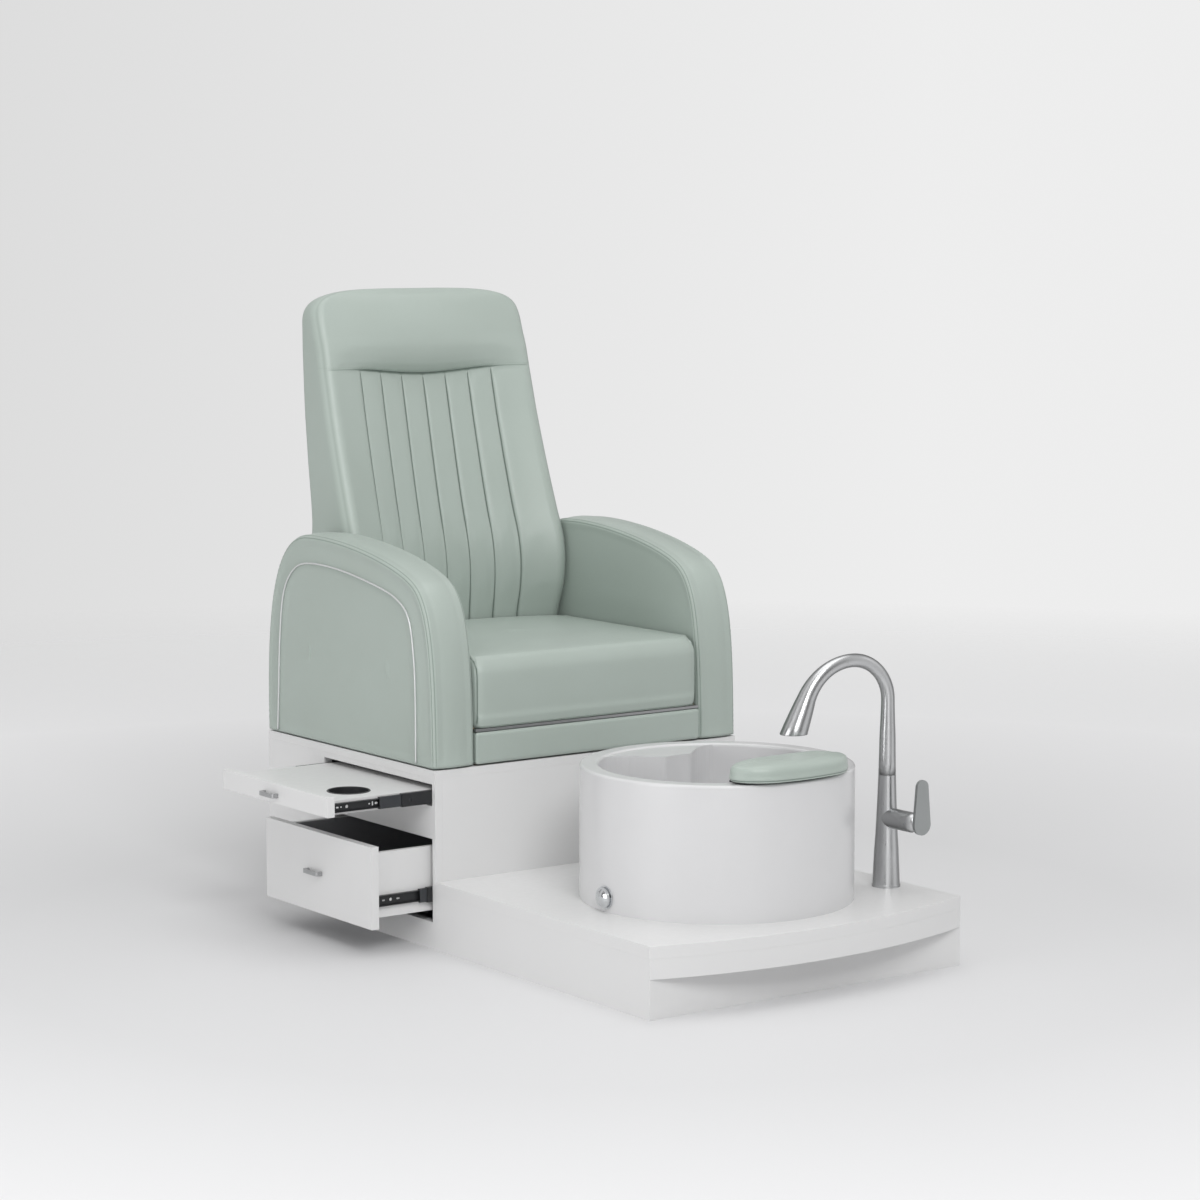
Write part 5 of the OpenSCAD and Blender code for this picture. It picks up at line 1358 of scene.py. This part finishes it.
@dataclass
class Arms:
    """Pair of upholstered arms, each with piping round its outer panel.

    Attributes:
        outer: distance of the outer face from the chair's middle.
        crown, panel_crown: how far the top and the side panels swell out.
        seam_angles: place of the seams on an edge, in degrees from the face.
        fill, cap: how far inside its form the cover starts, and its furthest move.
        seat_top: height below which the inner face is pressed flat by the seat.
        fine, coarse: rows on a face, round an edge and over the top, of the cover and of
            the simulated one.
        spine: level line [from, to, height] that the side panels close towards.
        piping: places [back, up] that the piping runs through.
    """

    y_ped: float = DATUM.pedestal_y
    chair_z: float = DATUM.chair_z
    outer: float = 402.0
    width: float = 104.0
    length: float = 691.0
    height: float = 456.0
    edge_r: float = 12.0
    crown: float = 5.0
    panel_crown: float = 2.2
    seam_angles: tuple[float, float] = (25.0, 62.0)
    piping_d: float = 4.0
    fill: float = 2.0
    cap: float = 3.0
    seat_top: float = DATUM.seat_top
    fine: tuple[int, int, int] = (40, 24, 28)
    coarse: tuple[int, int, int] = (14, 5, 9)
    spine: tuple[float, float, float] = (190.0, 500.0, 190.0)
    piping: Knots = field(default_factory=lambda: [
        (68, 4), (68, 140), (73, 223), (90, 302), (128, 340), (207, 364), (370, 388), (505, 391),
        (570, 368), (611, 311), (628, 208), (634, 116), (641, 4)])

    def outline(self, u: Array) -> Array:
        """Side view of an arm [back, up]: rear, top and front curves, then the level foot.

        Args:
            u: places around, one whole number to each of the four.

        Returns:
            Points (columns, 2).
        """
        a, h = self.length, self.height
        curves = [[(a, 0), (a + 7, h / 2), (a - 15, h - 13), (a - 174, h - 3)],
                  [(a - 174, h - 3), (a - 316, h + 5), (145, h - 33), (80, h - 75)],
                  [(80, h - 75), (11, h - 120), (3, h / 2 - 20), (0, 0)],
                  [(0, 0), (a / 3, 0), (2 * a / 3, 0), (a, 0)]]
        part, t = np.floor(u).astype(int) % 4, u - np.floor(u)
        return np.select([(part == k)[:, None] for k in range(4)], [bezier(c, t) for c in curves])

    def outward(self, u: Array) -> Array:
        """Direction out of the outline, level at its two feet and along the foot.

        Args:
            u: places around.

        Returns:
            Unit directions (columns, 2).
        """
        step = 1e-3
        way = self.outline(np.minimum(u + step, 4 - 1e-9)) - self.outline(np.maximum(u - step, 0))
        n = np.stack([way[:, 1], -way[:, 0]], axis=1)
        n /= np.maximum(np.linalg.norm(n, axis=1, keepdims=True), 1e-9)
        up = self.outline(u)[:, 1]
        n[:, 1] *= ease(up / 14)
        foot = u >= 3
        n[foot] = np.stack([2 * (u[foot] - 3) - 1, 0 * u[foot]], axis=1)
        return n

    def rows(self, counts: tuple[int, int, int]) -> Array:
        """Rows across an arm [x from the outer face, drawn in, share of the face, edge angle].

        Args:
            counts: number of rows on a face, round an edge and over the top.

        Returns:
            The rows; their edge angle is negative where they aren't on an edge.
        """
        face_n, round_n, top_n = counts
        e, w = self.edge_r, self.width
        share = np.linspace(0, 1, face_n, endpoint=False)
        share = 1.4 * share - 0.4 * share ** 2
        q = np.radians(np.linspace(0, 90, round_n))
        t = np.linspace(-1, 1, top_n)[1:-1]
        none, one = np.full(face_n, -99.0), np.ones
        outer = np.stack([-self.panel_crown * (1 - share ** 2), 0 * share + e, share, none], axis=1)
        bend = np.stack([e - e * np.cos(q), e - e * np.sin(q), one(round_n), np.degrees(q)], axis=1)
        top = np.stack([w / 2 + t * (w / 2 - e), -self.crown * (1 - t * t), one(len(t)), 0 * t - 99], axis=1)
        far = bend[::-1] * [-1, 1, 1, 1] + [w, 0, 0, 0]
        inner = outer[::-1] * [-1, 1, 1, 1] + [w, 0, 0, 0]
        return np.concatenate([outer, bend, top, far, inner])

    def surface(self, u: Array, rows: Array) -> Array:
        """Skin of the left arm.

        A ring is the outline drawn in along its outward direction; on a face
        it shrinks by its share towards a level line in the arm's middle.

        Args:
            u: places around the outline.
            rows: the rows across the arm.

        Returns:
            Points (rows, columns, 3).
        """
        line, out = self.outline(u), self.outward(u)
        x, d, share = (rows[:, k, None] for k in range(3))
        ring = line[None] - d[..., None] * out[None]
        start, end, high = self.spine
        middle = np.stack([np.clip(line[:, 0], start, end), np.full(len(u), high)], axis=1)
        flat = middle + share[..., None] * (ring - middle)
        inside = (rows[:, 0, None] > self.width - 0.01) & (share < 1)
        press = ease((self.seat_top + 60 - self.chair_z - flat[..., 1]) / 60)
        x = np.where(inside, self.width + (x - self.width) * (1 - press), x)
        return np.stack([x - self.outer + 0 * flat[..., 0], self.y_ped + flat[..., 0],
                         self.chair_z + flat[..., 1]], axis=-1)

    def piping_line(self) -> Array:
        """Course of the piping [back, up], smooth through its knots."""
        k = np.array(self.piping, float)
        return through(np.arange(len(k)), k, np.linspace(0, len(k) - 1, 240))

    def columns(self, rear: int, top: int, front: int, foot: int) -> Array:
        """Places around the outline, so many to each curve."""
        return grid_columns(*[(k, np.arange(n) / n) for k, n in enumerate((rear, top, front, foot))])

    def side_view(self, grid: Array) -> Array:
        """Places [back, up] of points of the arm, as its outline and piping give them."""
        return np.stack([grid[..., 1] - self.y_ped, grid[..., 2] - self.chair_z], axis=-1)

    def filled(self, u: Array, rows: Array) -> Array:
        """Moves of the stuffed cover, held at the piping, the edge seams and the foot.

        Args:
            u: places around.
            rows: rows across the arm; not used.
        """
        coarse = self.columns(26, 30, 26, 20)
        rough = self.rows(self.coarse)
        grid = self.surface(coarse, rough)
        flat = self.side_view(grid)
        outside = (rough[:, 0] < 1)[:, None]
        held = np.where(outside, hump(distance_to(flat, self.piping_line()), 9), 0)
        held = np.maximum(held, np.where(rough[:, 3] >= 0, 1.0, 0.0)[:, None])
        held = np.maximum(held, np.where(flat[..., 1] < 14, 1.0, 0.0))
        inner = (rough[:, 0] > self.width - 2)[:, None]
        free = np.where(inner, ease((grid[..., 2] - self.seat_top - 20) / 60) * 0.5, 1.0)
        move = swell("arm_cover", grid, held, self.fill, self.cap) * free[..., None]
        return spread(move, (np.arange(len(rough)), self.share_of_rows()),
                      (np.concatenate([coarse, [4.0]]), u))

    def share_of_rows(self) -> Array:
        """Place of each fine row among the coarse ones.

        Returns:
            The places, rising.
        """
        face, bend, top = self.coarse
        at = np.cumsum([0, face, bend - 1, top - 1, bend - 1, face])
        face, bend, top = self.fine
        return np.concatenate([
            np.linspace(at[0], at[1], face, endpoint=False), np.linspace(at[1], at[2], bend),
            np.linspace(at[2], at[3], top)[1:-1], np.linspace(at[3], at[4], bend),
            np.linspace(at[4], at[5], face + 1)[1:]])

    def edge_seams(self, rows: Array, run: Array) -> tuple[Array, Array]:
        """Seams sewn round the edges.

        Args:
            rows: the rows across the arm.
            run: distance of each column along a seam.

        Returns:
            The seams' line on each row, and their gathers on each row and column.
        """
        arc_mm = np.radians(rows[:, 3]) * self.edge_r
        line, gathers = np.zeros(len(rows)), np.zeros((len(rows), len(run)))
        for k, angle in enumerate(self.seam_angles):
            off = np.where(rows[:, 3] >= 0, arc_mm - math.radians(angle) * self.edge_r, 99)
            line = line + hump(off, 0.9)
            gathers = gathers + pucker(run[None], off[:, None], k + 0.3, 0.35)
        return line, gathers

    def stitch_rows(self, rows: Array) -> list[int]:
        """The row nearest each edge seam, on the outer and on the inner edge.

        Args:
            rows: the rows across the arm.

        Returns:
            Numbers of the rows.
        """
        half, found = len(rows) // 2, []
        for angle in self.seam_angles:
            for part in (slice(0, half), slice(half, len(rows))):
                near = np.where(rows[part, 3] >= 0, abs(rows[part, 3] - angle), 999)
                found.append(part.start + int(np.argmin(near)))
        return found

    def build(self) -> None:
        """Both arms, their stitches and their piping."""
        u = self.columns(100, 110, 100, 70)
        rows = self.rows(self.fine)
        grid = self.surface(u, rows)
        flat = self.side_view(grid)
        outside = (rows[:, 0] < 1)[:, None] * (rows[:, 3] < 0)[:, None]
        beside = distance_to(flat, self.piping_line())
        grid = grid + self.filled(u, rows) * (1 - hump(beside, 16) * outside)[..., None]
        out = normals(grid)
        pipe = hump(beside, 8) * outside
        edge = flat[self.fine[0] + 5]
        run = np.concatenate([[0], np.cumsum(np.linalg.norm(np.diff(edge, axis=0), axis=1))])
        line, gathers = self.edge_seams(rows, run)
        sewn = line[:, None] * ease(flat[..., 1] / 10) * (u < 3)
        depth = 0.5 * pipe + 0.9 * sewn + gathers * (u < 3)
        grid = grid - out * depth[..., None]
        # seam mark: painted shade along the edge seams and, faintly, in the recess beside the piping
        mark = np.maximum(0.12 * pipe, 0.75 * sewn)
        stitches = []
        for row in self.stitch_rows(rows):
            keep = (u < 3) & (flat[row, :, 1] > 6)
            stitches.append((grid[row, keep], out[row, keep]))
        for side, name in ((1, "arm_left"), (-1, "arm_right")):
            flip = np.array([side, 1, 1])
            thing = skin(name + "_cover", [grid * flip], [mark])
            place(thing, SAGE, "platform", name)
            sewing = thread(name + "_stitches", [(p * flip, n * flip) for p, n in stitches])
            place(sewing, SAGE_THREAD, "platform")
        self.cords()

    def cords(self) -> None:
        """Piping on both arms: a round cord along its course."""
        line = self.piping_line()
        rows = []
        for side in (-1, 1):
            x = np.full(len(line), side * (self.outer + self.piping_d / 2 + 0.1))
            path = np.stack([x, self.y_ped + line[:, 0], self.chair_z + line[:, 1]], axis=1)
            rows.append(tube(path, np.full(len(path), self.piping_d / 2), np.array([1.0, 0, 0]), 14))
        place(skin("arm_piping_cords", rows), PIPING_SILVER, "platform", "arm_piping")


@dataclass
class SlideScrews:
    """Screws and tabs in the webs of the slides' inner members.

    Attributes:
        web_y: outer face of the webs.
        proud: height of the heads.
        members: left end and middle height of the member on each body.
        spots: [distance from that end, length, height] of each head.
    """

    web_y: float = 53.0
    proud: float = 0.5
    members: dict[str, tuple[float, float]] = field(default_factory=lambda: {
        "tray": (-637.0, 325.5), "drawer": (-532.0, 117.5)})
    spots: dict[str, list[tuple[float, float, float]]] = field(default_factory=lambda: {
        "tray": [(12, 6, 3.5), (21, 3, 3), (89, 3.5, 3.5), (97, 3, 9), (106, 7, 4.5)],
        "drawer": [(17, 7, 4), (53, 8, 4)]})

    def build(self) -> None:
        """One row of flat heads on each member: rounded plates of length by height at their places."""
        turn = np.linspace(0, 2 * np.pi, 20, endpoint=False)
        for body, (x, z) in self.members.items():
            heads = []
            for along_x, length, high in self.spots[body]:
                r = min(length, high) / 2
                ring = np.stack([r * np.cos(turn) + np.sign(np.cos(turn)) * (length / 2 - r), 0 * turn,
                                 r * np.sin(turn) + np.sign(np.sin(turn)) * (high / 2 - r)], axis=1)
                at = np.array([x + along_x, self.web_y, z])
                lift = np.array([0, -self.proud, 0])
                heads.append(np.stack([0 * ring + at, ring + at, ring * 0.98 + at + 0.8 * lift,
                                       ring * 0.9 + at + lift, 0 * ring + at + lift]))
            finish = SCREW_BRIGHT if body == "tray" else SCREW_ZINC
            place(skin(body + "_slide_screws", heads), finish, body)


@dataclass
class FootPad:
    """Foot-rest pad that follows the basin's rim.

    Attributes:
        curve: radius of the rim's curve under the pad.
        turn: angle about the basin, in degrees.
        seam_at: share of the height at which the seam runs.
        fill, cap: how far inside its form the cover starts, and its furthest move.
        extra: columns that an edge has beyond half an end's.
    """

    basin_y: float = -415.5
    pad_y: float = -651.0
    low: float = 426.3
    height: float = 38.7
    length: float = 293.0
    width: float = 113.0
    curve: float = 440.0
    end_r: float = 70.0
    turn: float = 1.7
    seam_at: float = 0.1
    fill: float = 1.5
    cap: float = 2.5
    extra: int = 6

    def ring(self, n: int) -> Array:
        """Places around the pad [along, across, end], even at both ends and edges.

        Args:
            n: columns of half an end.

        Returns:
            The places (columns, 3).
        """
        a = np.linspace(-90, 90, 2 * n, endpoint=False)
        t = np.linspace(1, -1, n + self.extra, endpoint=False)
        q = np.radians(a)
        ends = [np.stack([s * np.ones(len(q)), s * np.sin(q), s * np.cos(q)], axis=1) for s in (1, -1)]
        edges = [np.stack([s * t, s * np.ones(len(t)), 0 * t], axis=1) for s in (1, -1)]
        return np.concatenate([ends[0], edges[0], ends[1], edges[1]])

    def rows(self, finer: int) -> Array:
        """Rows of the pad [share of the height, drawn in, share of the width].

        Args:
            finer: rows from knot to knot.

        Returns:
            The rows.
        """
        table = np.array([(0, 6, 0), (0, 6, 1), (0.06, 2, 1), (0.2, 0, 1), (0.5, 0, 1), (0.7, 2.5, 1),
                          (0.85, 8, 1), (0.94, 17, 1), (0.985, 30, 1), (1, 42, 1), (1.015, 44, 0.5),
                          (1.02, 45, 0)])
        last = len(table) - 1
        return through(np.arange(len(table)), table, np.linspace(0, last, last * finer + 1))

    def surface(self, ring: Array, rows: Array) -> Array:
        """Skin of the pad: a ring with round ends whose front edge follows the rim's curve.

        Args:
            ring: places around.
            rows: rows of the pad.

        Returns:
            Points (rows, columns, 3).
        """
        t, d, k = (rows[:, j:j + 1] for j in range(3))
        e = np.maximum(3, self.end_r - d)
        m = self.length / 2 - d - e
        x = ring[:, 0] * m + ring[:, 2] * e
        bow = self.length ** 2 / 8 / self.curve * (2 * x / self.length) ** 2 / 2
        y = self.pad_y + bow + ring[:, 1] * k * (self.width / 2 - d - bow)
        q = math.radians(self.turn)
        dy = y - self.basin_y
        return np.stack([x * math.cos(q) - dy * math.sin(q), self.basin_y + x * math.sin(q)
                         + dy * math.cos(q), self.low + t * self.height + 0 * x], axis=-1)

    def columns(self, n: int) -> Array:
        """Place of each column: one whole number to each end and edge."""
        ends, edges = np.arange(2 * n) / (2 * n), np.arange(n + self.extra) / (n + self.extra)
        return grid_columns((0, ends), (1, edges), (2, ends), (3, edges))

    def filled(self, finer: int, n: int, coarse_finer: int = 2, coarse_n: int = 9) -> Array:
        """Moves of the stuffed cover, which is held low; its top moves as one where it closes.

        Args:
            finer: rows of the cover to each knot of its table.
            n: columns of the cover to half an end.
            coarse_finer: the simulated grid's rows to each knot.
            coarse_n: its columns to half an end.

        Returns:
            The moves of the cover's points.
        """
        rows, columns = self.rows(finer), self.columns(n)
        ring, rough = self.ring(coarse_n), self.rows(coarse_finer)
        held = np.where(rough[:, 0] < 0.3, 1.0, 0.0)[:, None] * np.ones(len(ring))
        move = swell("foot_pad_cover", self.surface(ring, rough), held, self.fill, self.cap)
        share = rough[:, 2][:, None, None]
        move = share * move + (1 - share) * move[rough[:, 2] >= 1].mean(axis=(0, 1))
        return spread(move, (np.arange(len(rough)) / coarse_finer, np.arange(len(rows)) / finer),
                      (np.concatenate([self.columns(coarse_n), [4.0]]), columns))

    def build(self) -> None:
        """Pad with a sewn line low on its side."""
        finer, n = 7, 26
        grid = self.surface(self.ring(n), self.rows(finer)) + self.filled(finer, n)
        out = normals(grid)
        off = grid[..., 2] - self.low - self.seam_at * self.height
        # seam mark: painted shade and more roughness along the sewn line
        line = hump(off, 0.8)
        run = np.arctan2(grid[..., 1] - self.pad_y, grid[..., 0]) * 90
        depth = 0.6 * line + pucker(run, off, 0.4, 0.15)
        thing = skin("foot_rest_pad_cover", [grid - out * depth[..., None]], [line])
        place(thing, SAGE, "platform", "foot_rest_pad")


# ---- Hard parts --------------------------------------------------------------


@dataclass
class Tap:
    """Mixer tap's swinging spout as one drawn, flared tube.

    Attributes:
        bend_h: height at which the rise begins to bend.
        up_r, down_r: radii of the bend on its way up and down.
        lean, head_l: angle of the head from upright, in degrees, and its length.
        flare: share of the flare's length that lies before the head.
        turn: direction of the spout, in degrees from x.
        rise: [height, radius] of the tube up to its bend.
    """

    x: float = 344.0
    y: float = -550.5
    foot: float = 145.0
    bend_h: float = 393.0
    up_r: float = 88.0
    down_r: float = 122.0
    lean: float = 23.0
    head_l: float = 75.0
    pipe_r: float = 14.2
    mouth_r: float = 27.5
    flare: float = 6 / 9.2
    nozzle_r: float = 21.5
    nozzle_deep: float = 7.0
    turn: float = 172.5
    rise: Knots = field(default_factory=lambda: [
        (236.3, 18.5), (262, 17.9), (290, 17.3), (315, 16.9), (333, 16.2), (352, 15.3), (374, 14.6)])

    def course(self) -> tuple[Array, Array]:
        """Centre line [reach, height] of the spout and its radius at each point.

        The rise is straight, two arcs lead up and down, and the head is
        straight.  The tube widens by a square from the top of its bend.

        Returns:
            The line (n, 2) and the radii.
        """
        lean = math.radians(self.lean)
        way = np.array([math.sin(lean), -math.cos(lean)])
        down = np.array([self.up_r, self.bend_h + self.up_r - self.down_r])
        head = down + self.down_r * np.array([math.cos(lean), math.sin(lean)])
        rise = np.array(self.rise)
        up = arc((self.up_r, self.bend_h), self.up_r, 180, 96, 22)
        over = arc(tuple(down), self.down_r, 90, self.lean, 20)
        share = np.linspace(0, 1, 16)[1:, None]
        line = np.concatenate([rise[:, :1] * [0, 1], up, over, head + share * self.head_l * way])
        flare = self.pipe_r + (self.mouth_r - self.pipe_r) * np.linspace(0, self.flare, len(over)) ** 2
        radii = np.concatenate([rise[:, 1], np.full(len(up), self.pipe_r), flare,
                                flare[-1] + (self.mouth_r - flare[-1]) * share[:, 0] ** 0.82])
        return line, radii

    def build(self) -> None:
        """Spout whose head is cut level at its mouth, with a rounded lip and a nozzle recess."""
        line, radii = self.course()
        path = np.stack([line[:, 0], 0 * line[:, 0], line[:, 1]], axis=1)
        grid = tube(path, radii, np.array([0, 1.0, 0]), 48)[:-1]
        lean, mouth = math.radians(self.lean), path[-1]
        way = np.array([math.sin(lean), 0, -math.cos(lean)])
        body, last = grid[1:-1], grid[-1]
        cut = (path[:-1, 0] > self.up_r)[:, None] & (body[..., 2] < mouth[2])
        level = body + way * ((mouth[2] - body[..., 2]) / way[2])[..., None]
        body = np.where(cut[..., None], level, body)
        lip = last + way * ((mouth[2] - last[:, 2]) / way[2])[:, None]
        out = (lip - mouth) / np.linalg.norm(lip - mouth, axis=1, keepdims=True)
        inner = mouth + out * self.nozzle_r
        up = np.array([0, 0, 1.0])
        rings = [lip - out * 0.1 + up * 1.2, lip - out * 0.5 + up * 0.3, lip - out * 1.3,
                 inner + out * 0.8, inner + up * 0.6, inner + up * self.nozzle_deep,
                 mouth + up * self.nozzle_deep + 0 * inner]
        shape = np.concatenate([grid[:1], body[:-1], np.stack(rings)])
        q = math.radians(self.turn)
        x = shape[..., 0] * math.cos(q) - shape[..., 1] * math.sin(q)
        y = shape[..., 0] * math.sin(q) + shape[..., 1] * math.cos(q)
        placed = np.stack([self.x + x, self.y + y, self.foot + shape[..., 2]], axis=-1)
        place(skin("tap_spout_tube", [placed]), TAP_STEEL, "spout", "tap_spout")


class Edge(Enum):
    """How far an edge of a hard piece is broken, in millimetres."""

    NONE = 0.0
    FINE = 0.35
    BOARD = 0.9
    FLUSH = 0.3
    SOFT = 1.6


@dataclass
class Bodywork:
    """Finish and broken edges of every piece that keeps its own solid.

    Attributes:
        weld: distance in metres below which points are welded.
        sharp: angle in degrees from which an edge is broken.
        finishes: finish and edge of each node.
    """

    weld: float = 1e-5
    sharp: float = 50.0
    finishes: dict[str, tuple[Finish, Edge]] = field(default_factory=lambda: {
        **{n: (WHITE_BOARD, Edge.FLUSH) for n in (
            "step_deck", "step_side_left", "step_side_right", "step_front", "step_bow_fascia",
            "pedestal_top", "pedestal_left", "pedestal_right", "pedestal_front", "pedestal_back")},
        **{n: (WHITE_BOARD, Edge.BOARD) for n in (
            "tray_front", "tray_board", "drawer_front", "drawer_walls", "bay_wall")},
        **{n: (PLY, Edge.FINE) for n in (
            "step_bearers", "seat_frame", "seat_board", "arm_frames", "back_board")},
        "cup_holder": (CUP_BLACK, Edge.NONE), "drawer_bottom": (LINER_BLACK, Edge.FINE),
        "drawer_liner": (LINER_BLACK, Edge.FINE),
        "tray_pull": (PULL_STEEL, Edge.FINE), "drawer_pull": (PULL_STEEL, Edge.FINE),
        **{n: (SLIDE_BLACK, Edge.NONE) for n in (
            "tray_inner_slides", "tray_middle_slides", "tray_outer_slides", "drawer_inner_slides",
            "drawer_middle_slides", "drawer_outer_slides")},
        "tray_ball_cages": (CAGE_STEEL, Edge.NONE), "drawer_ball_cages": (CAGE_STEEL, Edge.NONE),
        "basin_shell": (ACRYLIC, Edge.NONE), "waste_body": (CHROME, Edge.NONE),
        "waste_stopper": (CHROME, Edge.NONE), "waste_pipe": (PIPE_WHITE, Edge.NONE),
        "backnuts": (BRASS, Edge.NONE), "drain_knob": (CHROME, Edge.NONE),
        "drain_knob_bush": (CHROME, Edge.NONE), "drain_cable": (HOSE_BLACK, Edge.NONE),
        "foot_rest_base": (BRACKET_BLACK, Edge.FINE), "tap_body": (TAP_STEEL, Edge.NONE),
        "tap_spigot": (CHROME, Edge.NONE), "tap_aerator": (NOZZLE_GREY, Edge.NONE),
        "mixing_hub": (TAP_STEEL, Edge.NONE), "tap_lever": (LEVER_STEEL, Edge.SOFT),
        "lever_pin": (CHROME, Edge.NONE), "supply_hoses": (HOSE_BLACK, Edge.NONE),
        "chair_glides": (RUBBER, Edge.NONE), "chair_bolts": (SCREW_ZINC, Edge.NONE),
        "seat_trim": (TRIM_STEEL, Edge.FINE)})

    def build(self) -> None:
        """Dress every kept node, and weld and break its edges where they are sharp."""
        for name, (finish, edge) in self.finishes.items():
            thing = dress(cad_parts[name], finish)
            if edge is not Edge.NONE:
                weld = thing.modifiers.new("Weld", "WELD")
                weld.merge_threshold = self.weld
                bevel = thing.modifiers.new("Bevel", "BEVEL")
                bevel.width = edge.value * MM
                bevel.segments = 2
                bevel.limit_method = "ANGLE"
                bevel.angle_limit = math.radians(self.sharp)
                thing.modifiers.new("Normals", "WEIGHTED_NORMAL").weight = 100
            LOG.info("%s: %s", name, finish.name)


# ---- Studio ------------------------------------------------------------------


@dataclass
class Studio:
    """Pale floor, soft lights and the camera, in metres, degrees and watts.

    Attributes:
        focal: the camera's focal length in millimetres, on a sensor of 36 mm.
        floor_near, floor_far: distances between which the floor fades out.
        glow_near, glow: distance from which the floor begins to glow, and how strongly.
        bands, bands_start: number of dark bands round the sky, and their turn in radians.
        sky_level: strength of the sky.
        right_way: direction towards which the backdrop brightens.
        lamps: place, target, size and power of each lamp.
    """

    camera_at: Point = (-3.9957, -5.5048, 1.5065)
    yaw: float = 36.009
    pitch: float = 6.611
    focal: float = 95.75
    floor_near: float = 3.2
    floor_far: float = 6.2
    glow_near: float = 1.3
    glow: float = 0.2
    bands: float = 6.0
    bands_start: float = 0.6
    sky_level: float = 0.67
    right_way: Point = (0.81, -0.59, 0.0)
    lamps: dict[str, tuple[Point, Point, float, float]] = field(default_factory=lambda: {
        "key": ((-2.0, -4.6, 4.1), (0, 0.1, 0.8), 2.2, 138),
        "left": ((-4.6, -0.4, 0.8), (0, 0, 0.2), 2.4, 51),
        "right": ((3.8, -2.0, 2.4), (0, 0, 0.6), 2.6, 13),
        "top": ((0.2, -0.2, 4.6), (0, 0, 0.4), 3.2, 42)})

    def build(self) -> None:
        """Camera, floor, sky and lamps."""
        bpy.context.scene.view_settings.view_transform = "Standard"
        self.camera()
        self.floor()
        self.sky()
        for name, (at, to, size, power) in self.lamps.items():
            self.lamp(name, at, to, size, power)

    def camera(self) -> None:
        """Camera that looks along yaw, clockwise from the back, and pitch, below level."""
        data = bpy.data.cameras.new("camera")
        data.lens, data.sensor_width, data.clip_end = self.focal, 36.0, 200.0
        thing = bpy.data.objects.new("camera", data)
        thing.location = self.camera_at
        thing.rotation_euler = (math.radians(90 - self.pitch), 0, -math.radians(self.yaw))
        bpy.context.scene.collection.objects.link(thing)
        bpy.context.scene.camera = thing

    def floor(self) -> None:
        """Round floor whose rim fades out, so that it meets the sky without a line."""
        thing = skin("floor", [disc(np.linspace(0, self.floor_far + 1, 40) / MM)])
        material = bpy.data.materials.new("pale_floor")
        material.use_nodes = True
        graph = Graph(material.node_tree)
        shader = material.node_tree.nodes["Principled BSDF"]
        vector = graph.add("TexCoord", out="Object")
        feeds = {"Colour": tint("DADADB"), "Vector": vector, "Size": 1.5, "Amount": 0.02}
        cloud = graph.add("Group", feeds, node_tree=EFFECTS.groups[Effect.CLOUDS])
        graph.link(cloud, shader.inputs["Base Color"])
        shader.inputs["Roughness"].default_value = 0.7
        shader.inputs["Specular IOR Level"].default_value = 0.2
        far = graph.add("VectorMath", {0: vector}, "Value", operation="LENGTH")
        graph.link(graph.fit(far, self.floor_near, self.floor_far, 1.0, 0.0), shader.inputs["Alpha"])
        shader.inputs["Emission Color"].default_value = tint("FFFFFF")
        graph.link(graph.fit(far, self.glow_near, self.floor_near, 0.0, self.glow),
                   shader.inputs["Emission Strength"])
        thing.data.materials.append(material)

    def sky(self) -> None:
        """Soft surround: even above, with darker bands round the horizon that show in the metal.

        The camera sees a plain backdrop instead, which brightens to the right.
        """
        world = bpy.data.worlds.new("surround")
        bpy.context.scene.world = world
        world.use_nodes = True
        graph = Graph(world.node_tree)
        way = graph.add("TexCoord", out="Generated")
        parts = graph.add("SeparateXYZ", {0: way}, 0)
        node = parts.node
        azimuth = graph.math("ARCTAN2", node.outputs[1], node.outputs[0])
        bands = graph.math("SINE", graph.math("MULTIPLY_ADD", azimuth, self.bands, self.bands_start))
        dark = graph.fit(bands, -0.7, 0.1, 0.2, 1.0)
        low = graph.fit(node.outputs[2], 0.25, 0.75, 0.0, 1.0)
        level = graph.math("MAXIMUM", dark, low)
        seen = graph.add("LightPath", out="Is Camera Ray")
        right = graph.add("VectorMath", {0: way, 1: self.right_way}, "Value", operation="DOT_PRODUCT")
        behind = graph.fit(right, -0.19, 0.10, 1.08, 1.27)
        shade = graph.add("Mix", {0: seen, 2: level, 3: behind}, 0)
        back = world.node_tree.nodes["Background"]
        colour = graph.add("CombineColor", {0: shade, 1: shade, 2: shade})
        graph.link(colour, back.inputs["Color"])
        back.inputs["Strength"].default_value = self.sky_level

    def lamp(self, name: str, at: Point, to: Point, size: float, power: float) -> None:
        """Square soft lamp at a place, turned towards a point.

        Args:
            name: the lamp's name.
            at: its place.
            to: the point.
            size: its side.
            power: its power in watts.
        """
        data = bpy.data.lights.new(name, "AREA")
        data.size, data.energy = size, power
        thing = bpy.data.objects.new(name, data)
        thing.location = at
        way = np.array(to) - np.array(at)
        thing.rotation_euler = (math.atan2(math.hypot(way[0], way[1]), -way[2]), 0,
                                math.atan2(way[1], way[0]) - math.pi / 2)
        bpy.context.scene.collection.objects.link(thing)


def main() -> None:
    """Build the studio and every sub-assembly."""
    logging.basicConfig(level=logging.INFO, format="%(message)s")
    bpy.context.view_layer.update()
    Studio().build()
    Bodywork().build()
    back = Back()
    back.build()
    Seat().build(back)
    Arms().build()
    SlideScrews().build()
    FootPad().build()
    Tap().build()


if __name__ == "__main__":
    main()
